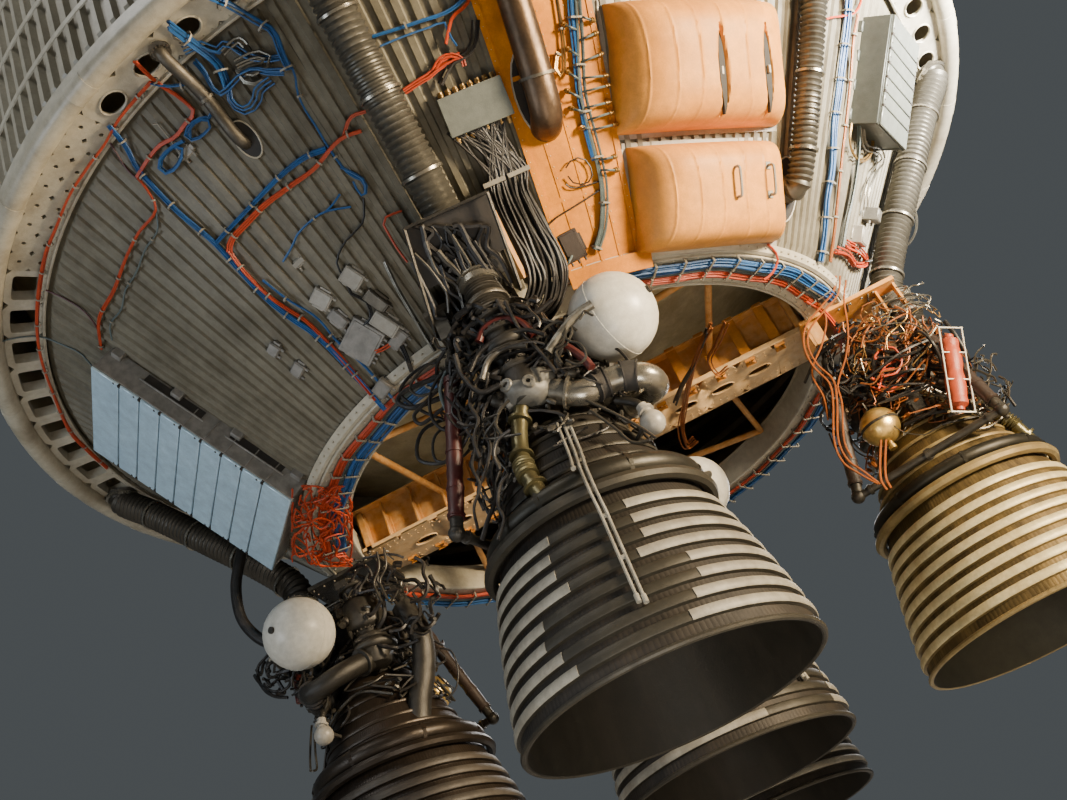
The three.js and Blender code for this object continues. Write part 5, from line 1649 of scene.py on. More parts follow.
# framedParts: the roll, the bars of its frame and its stays
def framedParts():
    top, bottom = pixelsBefore(framed["ends"], framed["depth"], 90)
    along = (bottom - top) / np.linalg.norm(bottom - top)
    side = np.cross(along, photo["back"] @ turnOf(90))
    side /= np.linalg.norm(side)
    front = np.cross(side, along)
    steps = np.linspace(0, 1, 28)[:, None]
    share = steps[:, 0]
    waist = 1 - 0.12 * np.abs(np.sin(share * 9.4)) ** 6
    swell = framed["radius"] * waist * np.clip(np.sin(np.pi * np.clip(share, 0.04, 0.96)) * 4, 0.4, 1)
    roll = [swept(top + (bottom - top) * steps, swell, 16)]
    h = framed["radius"] + 0.010
    above, below = top - along * 0.04, bottom + along * 0.04
    corners = [above - side * h, above + side * h, below + side * h, below - side * h]
    shift = front * (framed["radius"] - 0.015)
    bars = [rod(p + shift, q + shift, 0.007, 8) for p, q in zip(corners, corners[1:] + corners[:1])]
    bars += [ball(p + shift, 0.011, 8) for p in corners]
    for s in (0.3, 0.62):
        left, right = corners[0] * (1 - s) + corners[3] * s, corners[1] * (1 - s) + corners[2] * s
        bars.append(rod(left + shift, right + shift, 0.006, 8))
    stays = [rod(top, (-0.20, -0.20, -0.62), 0.02, 8), rod(bottom, (-0.25, -0.20, -1.22), 0.02, 8)]
    return roll, bars, stays


# The gimbal: a cross with two pins in four ears. The upper pair of ears hangs from the pad, the lower pair
# stands on the dome.
gimbal = {"reach": 0.080, "ear": 0.030, "pin": 0.029, "pitchZ": 0.025, "yawZ": -0.085}


# makeGimbal: the cross between two bodies; gives back the ears that belong to the engine
def makeGimbal(letter, place, columns):
    g = gimbal
    cross = [rod((-g["reach"], 0, g["pitchZ"]), (g["reach"], 0, g["pitchZ"]), g["pin"], 24),
             rod((0, -g["reach"], g["yawZ"]), (0, g["reach"], g["yawZ"]), g["pin"], 24),
             slab(0.037, 0.037, g["yawZ"] - 0.030, g["pitchZ"] + 0.029, 0.010)]
    piece(f"gimbal_cross_{letter}_pins", cross, "steel", f"gimbal_{letter}", [f"gimbal_cross_{letter}"],
          place, columns)
    # ears of the engine's dome, rounded over their pin
    a = np.radians(np.linspace(0, 180, 13))
    outline = np.vstack([np.stack([0.050 * np.cos(a), g["yawZ"] + 0.034 * np.sin(a)], -1),
                         [(-0.062, -0.200), (0.062, -0.200)]])
    low, high = g["reach"] + 0.0005, g["reach"] + g["ear"]
    ears = [lofted([[(x, side * y, z) for x, z in outline] for y in (low, low + 0.003, high - 0.003, high)])
            for side in (-1, 1)]
    return ears


# Inlet bellows: from the structure's duct to a collar on the gimbal, and from there to the engine's pump
bellows = {"radius": 0.140, "depth": 0.026, "pitch": 0.024, "at": (0.0, -0.475),
           "top": 0.052, "middle": -0.095, "bottom": -0.246, "half": 0.018}


# hung: a piece made on the first of its bodies, then taken off it, its place baked into its points
def hung(name, parts, look, bodies, place, columns):
    obj = piece(name, parts, look, bodies[0], (), place, columns)
    obj.parent = None
    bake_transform(obj)


# hungCables: cables cut in two at the middle height, so that each half crosses one pin of the gimbal
def hungCables(name, lines, look, letter, heights, place, columns):
    upper, lower = [], []
    for line, radius in lines:
        k = np.argmax(line[:, 2] < heights[1])
        above, below = line[k - 1], line[k]
        cut = above + (below - above) * (above[2] - heights[1]) / (above[2] - below[2])
        upper.append(swept(np.vstack([line[:k], cut]), radius, 6))
        lower.append(swept(np.vstack([cut, line[k:]]), radius, 6))
    hung(f"{name}_upper", upper, look, ("structure", f"gimbal_{letter}"), place, columns)
    hung(f"{name}_lower", lower, look, (f"gimbal_{letter}", f"engine_{letter}"), place, columns)


# makeBellows: an upper and a lower bellows with the collar between them
def makeBellows(letter, place, columns):
    b = bellows
    x, y = b["at"]
    cross, engine, inset = f"gimbal_{letter}", f"engine_{letter}", b["half"] - 0.003
    for name, high, low, bodies in (("upper", b["top"], b["middle"] + inset, ("structure", cross)),
                                    ("lower", b["middle"] - inset, b["bottom"], (cross, engine))):
        path = np.array([(x, y, high), (x, y, (high + low) / 2), (x, y, low)])
        hose = ribbed(path, b["radius"], b["depth"], b["pitch"], 24, 5)
        hung(f"bellows_{letter}_{name}", [hose], "hosePaintedShade", bodies, place, columns)
    ring = [(0.118, -b["half"]), (0.158, -b["half"]), (0.162, -0.010), (0.162, 0.010), (0.158, b["half"]),
            (0.118, b["half"])]
    collarParts = [moved(turned(ring, 32, True), (x, y, b["middle"]))]
    for side in (-1, 1):
        start, end = (side * 0.075, y * 0.12, b["middle"]), (side * 0.05, y + 0.13, b["middle"])
        collarParts.append(rod(start, end, 0.010, 8))
    collarParts.append(rod((0, -0.07, -0.085), (0, -0.33, -0.095), 0.014, 10))
    piece(f"bellows_{letter}_collar", collarParts, "cast", f"gimbal_{letter}", (), place, columns)


# padParts: bolts, short ribs and a round boss under the thrust pad
def padParts():
    parts = []
    xs, ys = np.meshgrid(np.linspace(-0.42, 0.16, 7), np.linspace(-0.25, 0.42, 7))
    edge = (np.abs(xs + 0.13) > 0.22) | (np.abs(ys - 0.085) > 0.26)
    parts.append(bolts(np.stack([xs[edge], ys[edge], np.full(edge.sum(), 0.0697)], -1),
                       (0, 0, -1), 0.011, 0.012))
    parts += [block((-0.44, y - 0.006, 0.058), (-0.30, y + 0.006, 0.0705), 0.002) for y in (-0.2, 0.0, 0.2)]
    parts.append(turned([(0, 0.0705), (0.115, 0.0705), (0.115, 0.067), (0.108, 0.063), (0, 0.063)], 28))
    return parts


# Engines: the looks of the centre and far engines, and what differs on the others
usualEngine = {"radius": engineCircle, "bell": "nickel", "band": "bandDark", "cap": "nickelBand",
               "smooth": "nickelBell", "duct": "steel", "tube": "olive", "liner": "liner",
               "cast": "cast", "cover": "redDark", "pump": "cast"}
engines = {
    "a": {"azimuth": -90, "bell": "bronzeBell", "band": "bronzeBand", "cap": "bronzeCap",
          "smooth": "bronzeBand", "duct": "castBlackAndShade", "tube": "castBlackAndShade", "liner": "linerDark",
          "cast": "castBlackAndShade", "cover": "darkCover", "pump": "castBlackAndShade"},
    # the front engine's pumps and fittings are in the black cast finish, painted shade over its top
    "b": {"azimuth": 0, "cast": "paleCast", "pump": "castBlackAndShade"},
    "d": {"azimuth": 90, "bell": "goldTube", "band": "goldBell", "cap": "goldBand", "duct": "bronze",
          "liner": "linerGold", "cast": "bronze", "cover": "darkCover", "pump": "castBlackAndShade"},
    "f": {"azimuth": 180},
    "c": {"azimuth": 45, "radius": 0.0},
}


# makeEngine: one engine's pieces, carried to its place and turned to its azimuth
def makeEngine(letter, e):
    outer = letter != "c"
    body = f"engine_{letter}" if outer else "structure"
    columns = turnOf(e["azimuth"])
    place = polar(e["azimuth"], e["radius"], gimbalZ)
    node = lambda part: f"engine_{letter}_{part}"

    # add: one piece of this engine, carried to its place
    def add(name, parts, look, replaces=(), on=body):
        return piece(f"{name}_{letter}", parts, look, on, replaces, place, columns)

    shell, jacket = bellParts()
    add("bell", [shell], e["bell"], [node("chamber")])
    ears = makeGimbal(letter, place, columns) if outer else [slab(0.11, 0.11, -0.18, -0.10, 0.008)]
    studs = bolts(ringPoints(0.255, 28, -0.216), (0, 0, 1), 0.009, 0.014)
    add("chamber", [jacket, studs, *ears], e["cast"])
    add("liner", [linerPart()], e["liner"])
    bands, caps = bandParts()
    add("bands", bands, e["band"])
    add("band_caps", caps, e["cap"])
    add("manifold", manifoldParts(), e["smooth"])
    add("pump_oxidiser", pumpParts("oxidiser"), e["pump"], [node("oxidiser_pump")])
    add("pump_fuel", pumpParts("fuel") + [rod((0.44, 0.225, -0.52), (0.18, 0.09, -0.52), 0.055, 12)],
        e["pump"], [node("fuel_pump")])
    add("turbine_casing", castingParts(), e["cast"])
    duct, joints = crossoverParts()
    add("crossover", duct, e["duct"], [node("crossover_duct")])
    add("crossover_couplings", joints, "dark")
    add("turbine_exhaust", exhaustParts(), e["tube"])
    shell, fittings = ballParts()
    add("start_tank", shell, "white", [node("gas_bottles")])
    bottleShell, strap, small, arm = bottleParts()
    add("gas_bottle", bottleShell, "brass")
    add("small_tank", small, "plate")
    add("tank_arms", fittings + strap + arm, e["pump"])
    if outer:
        wraps, metal = actuatorParts()
        add("actuator_covers", wraps, e["cover"], [node("actuators")])
        add("actuator_rods", metal, e["pump"])
        makeBellows(letter, place, columns)
        add("pad_fittings", padParts(), "cast" if letter == "a" else "steel", on="structure")
    add("drain_tubes", drainParts(), e["cap"])
    cases, plugs = boxParts()
    add("engine_boxes", cases, e["pump"])
    seed = 11 + ord(letter)
    wires = {"tube": "darkTube", "black": "black", "fitting": "castBlackAndShade", "orange": "black",
             "grey": "darkTube"}
    if letter == "d":
        wires = {"tube": "bronze", "black": "black", "fitting": "copper", "orange": "copper",
                 "grey": "darkTube"}
    for k, (kind, look) in enumerate(wires.items()):
        add(f"lines_{kind}", clutterParts(kind, seed * 10 + k), look)
    add("connectors", fittingParts(seed, 90) + plugs, "copper" if letter == "d" else "darkTube")
    add("valves", valveParts(seed + 5), "bronze" if letter == "d" else e["pump"])
    add("loops", [tube(points, r, 7, 6) for r, points in leftLoops], "black")
    if letter == "b":
        for look in ("black", "darkTube", "grey"):
            add(f"front_hoses_{look}", hosesOf(frontHoses, look, 8), look)
    if letter == "d":
        rng = np.random.default_rng(77)
        fine = []
        for k in range(110):
            a = drift(rng, (-150, 60), (-30, 30), 5)
            z = np.clip(drift(rng, (-1.3, -0.15), (-0.16, 0.16), 5), -1.42, -0.29)
            r = np.clip(drift(rng, (0.36, 0.62), (-0.06, 0.06), 5), clearOf(z, 0.05), 0.68)
            fine.append(tube(polar(a, r, z), rng.uniform(0.004, 0.008), 4, 4))
        add("fine_wires", fine[:70], "copper")
        add("fine_tubes", fine[70:], "tube")
    for look in ("red", "darkTube", "tube", "black"):
        add(f"hoses_{look}", hosesOf(hoses, look, 9), "copper" if (letter, look) == ("d", "red") else look)
    dense = {}
    for k, (owner, look, count, patch, depths, radii) in enumerate(jumbles):
        if owner == letter:
            dense.setdefault(look, []).extend(jumble(400 + k, count, patch, depths, radii, e["azimuth"]))
    for owner, look, radius, depth, pixels in farHoses:
        if owner == letter:
            line = smooth(pixelsBefore(pixels, depth, e["azimuth"]), 6)
            dense.setdefault(look, []).append(swept(line, radius, 10))
    for look, parts in dense.items():
        add(f"dense_{look}", parts, look)
    if letter == "d":
        amber = [(smooth(pixelsBefore(pixels, depth, 90), 7), radius)
                 for radius, depth, pixels in amberCables]
        hungCables("amber_cables", amber[:4], "amberCable", "d", (-0.02, -0.40, -0.90), place, columns)
        add("ball_cables", [swept(line, radius, 6) for line, radius in amber[4:]], "amberCable")
        roll, bars, stays = framedParts()
        add("framed_cover", roll, "redPale")
        add("cover_frame", bars + stays, "white")


for letter, row in engines.items():
    makeEngine(letter, {**usualEngine, **row})
print("stage: engines")

# CAD nodes that stay in sight: the thrust pads, in the beam's primer and in bare dark metal; pad a's black
# metal is darkened further as painted shade
padLooks = {"a": "castBlackAndShade", "b": "cast", "c": "cast", "d": "beamPrimer", "f": "beamPrimer"}
for letter, look in padLooks.items():
    bpy.data.objects[f"thrust_pad_{letter}"].material_slots[0].material = materials[look]


# Plates, holes and small equipment on the cone

# seatOf: the azimuth and slope under a pixel of the photograph
def seatOf(pixel):
    x, y = pixelsOnCone([pixel], 0.0)[0, :2]
    return np.degrees(np.arctan2(x, -y)), (np.hypot(x, y) - coneFoot) / coneSin


# conePatch: a plate that follows the cone between two azimuths and two slopes
def conePatch(azimuths, slopes, lift, thick, steps=24):
    a = np.linspace(*azimuths, steps)[None, :]
    s = np.linspace(*slopes, 12)[:, None]
    top, under = onCone(a, s, lift + thick), onCone(a, s, lift)
    return lofted(np.concatenate([top, under[:, ::-1]], 1))


# coneStrip: a flat strip along the cone from one (azimuth, slope) to another
def coneStrip(start, end, width, lift, thick, steps=20):
    a, s = np.linspace(start[0], end[0], steps), np.linspace(start[1], end[1], steps)
    middle = onCone(a, s, lift)
    normal = onCone(a, s, lift + 1) - middle
    along = np.gradient(middle, axis=0)
    side = np.cross(along, normal)
    side *= width / 2 / np.linalg.norm(side, axis=1)[:, None]
    return lofted(np.stack([middle - side, middle + side, middle + side + normal * thick,
                            middle - side + normal * thick], 1))


# The amber plate: its ranges of azimuth and slope, its seams at azimuths and its ledges at slopes
amberPanel = {"azimuths": (12.4, 24.8), "slopes": (0.05, 2.74), "lift": 0.025, "thick": 0.005,
              "seams": (15.4, 18.6, 21.6), "ledges": (0.62, 1.55, 2.15)}


# makeAmberPanel: the amber plate on the cone with its seams, ledges and rivets
def makeAmberPanel():
    p = amberPanel
    (a0, a1), (s0, s1) = p["azimuths"], p["slopes"]
    top = p["lift"] + p["thick"]
    parts = [conePatch(p["azimuths"], p["slopes"], p["lift"], p["thick"])]
    parts += [coneStrip((a, s0 + 0.02), (a - 0.3, s1 - 0.02), 0.030, top - 0.001, 0.006) for a in p["seams"]]
    parts += [coneStrip((a0 + 0.2, s), (a1 - 0.2, s), 0.034, top - 0.001, 0.005) for s in p["ledges"]]
    parts += [coneStrip((a, s0), (a, s1), 0.045, top - 0.001, 0.008) for a in (a0 + 0.25, a1 - 0.25)]
    parts.append(conePatch((a0, a1 + 1.5), (-0.035, 0.10), 0.070, 0.005))
    rivets = []
    for a in (a0 + 0.25, *p["seams"], a1 - 0.25):
        s = np.arange(s0 + 0.05, s1, 0.085)
        rivets.append(copies(turned([(0, 0), (0.007, 0), (0.005, 0.004), (0, 0.005)], 6),
                             onCone(np.full(len(s), a), s, top + 0.004),
                             np.repeat(coneColumns(a)[None], len(s), 0)))
    piece("amber_panel", parts, "amber")
    piece("amber_rivets", rivets, "beamPale")


makeAmberPanel()

# Holes that the ducts go into: (azimuth, slope, half width, half length)
coneHoles = [(16.0, 1.42, 0.155, 0.33), (54.0, 0.58, 0.14, 0.26), (*seatOf((248, 139)), 0.085, 0.15)]


# makeConeHoles: openings in the cone with raised rims, each hollow a near-black disc as painted shade
def makeConeHoles():
    a = circle(24)
    paintedShadeHollows, lips = [], []
    for azimuth, slope, hx, hy in coneHoles:
        loop = np.stack([hx * np.cos(a), hy * np.sin(a)], -1)
        z = 0.032 if azimuth == 16.0 else 0.027
        disc = lofted([np.insert(loop, 2, height, 1) for height in (z - 0.02, z)])
        paintedShadeHollows += seated([disc], azimuth, slope)
        ring = np.insert(loop * 1.03, 2, z, 1)
        lips += seated([swept(np.vstack([ring, ring[:2]]), 0.007, 5)], azimuth, slope)
    piece("cone_hole_painted_shade", paintedShadeHollows, "dark")
    piece("cone_hole_lips", lips, "rimPaint")


makeConeHoles()

# The open frame in front of the front duct's foot: a hollow with sheet sides and cables inside, its depth
# darkened by a near-black screen as painted shade. Its corners are pixels, front is how far its open side
# stands off the cone.
ductFrame = {"corners": [(404, 229), (487, 192), (521, 288), (437, 338)], "front": 0.46, "sheet": 0.012}


# makeDuctFrame: the frame's sheets and bars, a near-black screen as painted shade, and the cables and units
# inside it
def makeDuctFrame():
    f = ductFrame
    front, back = pixelsOnCone(f["corners"], f["front"]), pixelsOnCone(f["corners"], 0.06)
    sheets, bars, inside = [], [], []
    for k in range(4):
        after = (k + 1) % 4
        p, q, pb, qb = front[k], front[after], back[k], back[after]
        side = np.cross(q - p, pb - p)
        side *= f["sheet"] / np.linalg.norm(side)
        if k in (0, 3):
            sheets.append(lofted([[p, q, q + side, p + side], [pb, qb, qb + side, pb + side]]))
        if k != 2:
            bars.append(rod(p, q, 0.013, 4))
        if k != 3:
            bars.append(rod(p, pb, 0.012, 4))
    c = np.array(f["corners"], float)
    paintedShadeScreen = [pixelsOnCone([c[0], c[1], c[1] * 0.42 + c[2] * 0.58, c[0] * 0.42 + c[3] * 0.58], lift)
              for lift in (0.405, 0.395)]
    piece("duct_frame_painted_shade", [lofted(paintedShadeScreen)], "dark")
    piece("duct_frame_sheets", sheets, "cast")
    piece("duct_frame_bars", bars, "castBlackAndShade")
    rng = np.random.default_rng(23)
    middle = c.mean(0)
    dark, pale = [], []
    for k in range(30):
        start = middle + rng.uniform(-1, 1, 2) * (34, 40)
        points = [start + np.array([i * 9.0, i * 16.0]) + rng.uniform(-8, 8, 2) for i in np.arange(-2, 3)]
        points = np.clip(points, (412, 226), (512, 318))
        lifts = f["front"] - 0.005 - rng.uniform(0, 0.045)
        (dark if k % 6 else pale).append(tube(pixelsOnCone(points, lifts), rng.uniform(0.008, 0.020), 5, 4))
    for pixel, size in (((440, 258), 0.10), ((468, 240), 0.09), ((492, 262), 0.09)):
        inside += seated([slab(size, size, 0.20, 0.38, 0.01),
                          rod((0, 0, 0.37), (0, 0, 0.41), size * 0.5, 16)], *seatOf(pixel),
                         rng.uniform(-25, 25))
    place = polar(0, engineCircle, gimbalZ)
    for name, parts, look in (("cables", dark, "black"), ("tubes", pale, "darkTube")):
        hung(f"duct_frame_{name}", [(verts - place, faces) for verts, faces in parts], look,
             ("structure", "gimbal_b"), place, np.eye(3))
    piece("duct_frame_units", inside, "castBlackAndShade")


makeDuctFrame()

# Small boxes on the cone: pixel under the middle, half width, half length, depth, twist, look
smallBoxes = [((323, 298), 0.070, 0.080, 0.05, 20, "plate"), ((354, 277), 0.070, 0.085, 0.07, 20, "plate"),
              ((364, 340), 0.150, 0.140, 0.06, 20, "boxGrey"), ((388, 322), 0.060, 0.110, 0.10, 20, "plate"),
              ((340, 318), 0.050, 0.080, 0.05, 10, "boxGrey"),
              ((571, 246), 0.080, 0.115, 0.04, 8, "darkCover"),
              ((852, 236), 0.085, 0.080, 0.12, 10, "plate"),
              ((862, 215), 0.060, 0.060, 0.16, 10, "paleCast"), ((188, 152), 0.060, 0.040, 0.03, 0, "tie"),
              ((385, 386), 0.07, 0.06, 0.08, 10, "boxGrey"), ((300, 262), 0.035, 0.035, 0.02, 0, "tie"),
              ((340, 345), 0.05, 0.05, 0.03, 10, "cast"), ((378, 300), 0.05, 0.10, 0.07, 15, "cast"),
              ((400, 338), 0.08, 0.05, 0.06, 15, "boxGrey"), ((276, 348), 0.05, 0.05, 0.05, 10, "boxGrey"),
              ((300, 368), 0.06, 0.05, 0.05, 10, "boxGrey")]


# makeSmallBoxes: small boxes on the cone, with feet and plugs
def makeSmallBoxes():
    byLook = {}
    for pixel, hx, hy, depth, twist, look in smallBoxes:
        azimuth, slope = seatOf(pixel)
        parts = [slab(hx, hy, -0.01, depth, 0.006),
                 slab(hx * 0.86, hy * 0.86, depth - 0.002, depth + 0.006, 0.003),
                 block((-hx - 0.018, -hy * 0.6, -0.01), (hx + 0.018, hy * 0.6, 0.032), 0.003)]
        x = np.linspace(-hx * 0.7, hx * 0.7, max(2, int(hx * 40)))
        parts += [rod((u, -hy - 0.028, depth * 0.55), (u, -hy + 0.004, depth * 0.55), 0.012, 10) for u in x]
        corners = np.array([(u * hx * 0.78, v * hy * 0.78, depth + 0.005) for u in (-1, 1) for v in (-1, 1)])
        parts.append(bolts(corners, (0, 0, 1), 0.006, 0.004))
        byLook.setdefault(look, []).extend(seated(parts, azimuth, slope, twist))
    for look, parts in byLook.items():
        piece(f"small_boxes_{look}", parts, look)


makeSmallBoxes()

# The distribution plate and its row of plugs
distribution = {"at": (8.65, 1.452), "half": (0.245, 0.146), "depth": 0.150}


# makeDistribution: the plate on its plinth and a row of plugs along two sides
def makeDistribution():
    d = distribution
    (hx, hy), z = d["half"], d["depth"]
    parts = [slab(hx, hy, z - 0.016, z, 0.004),
             block((-hx + 0.03, -hy + 0.03, -0.04), (hx - 0.03, hy - 0.03, z - 0.015), 0.006)]
    plugs = []
    for side in (-1, 1):
        root, tip = side * (hy - 0.035), side * (hy + 0.045)
        low, high = side * (hy + 0.012), side * (hy + 0.024)
        for x in np.linspace(-hx + 0.045, hx - 0.045, 8):
            plugs += [rod((x, root, z * 0.5), (x, tip, z * 0.42), 0.019, 12),
                      rod((x, low, z * 0.48), (x, high, z * 0.46), 0.024, 12)]
    piece("distribution_plate", seated(parts, *d["at"]), "boxPale", replaces=["distribution_box"])
    piece("distribution_plugs", seated(plugs, *d["at"]), "fitting")


makeDistribution()
print("stage: cone fixtures")

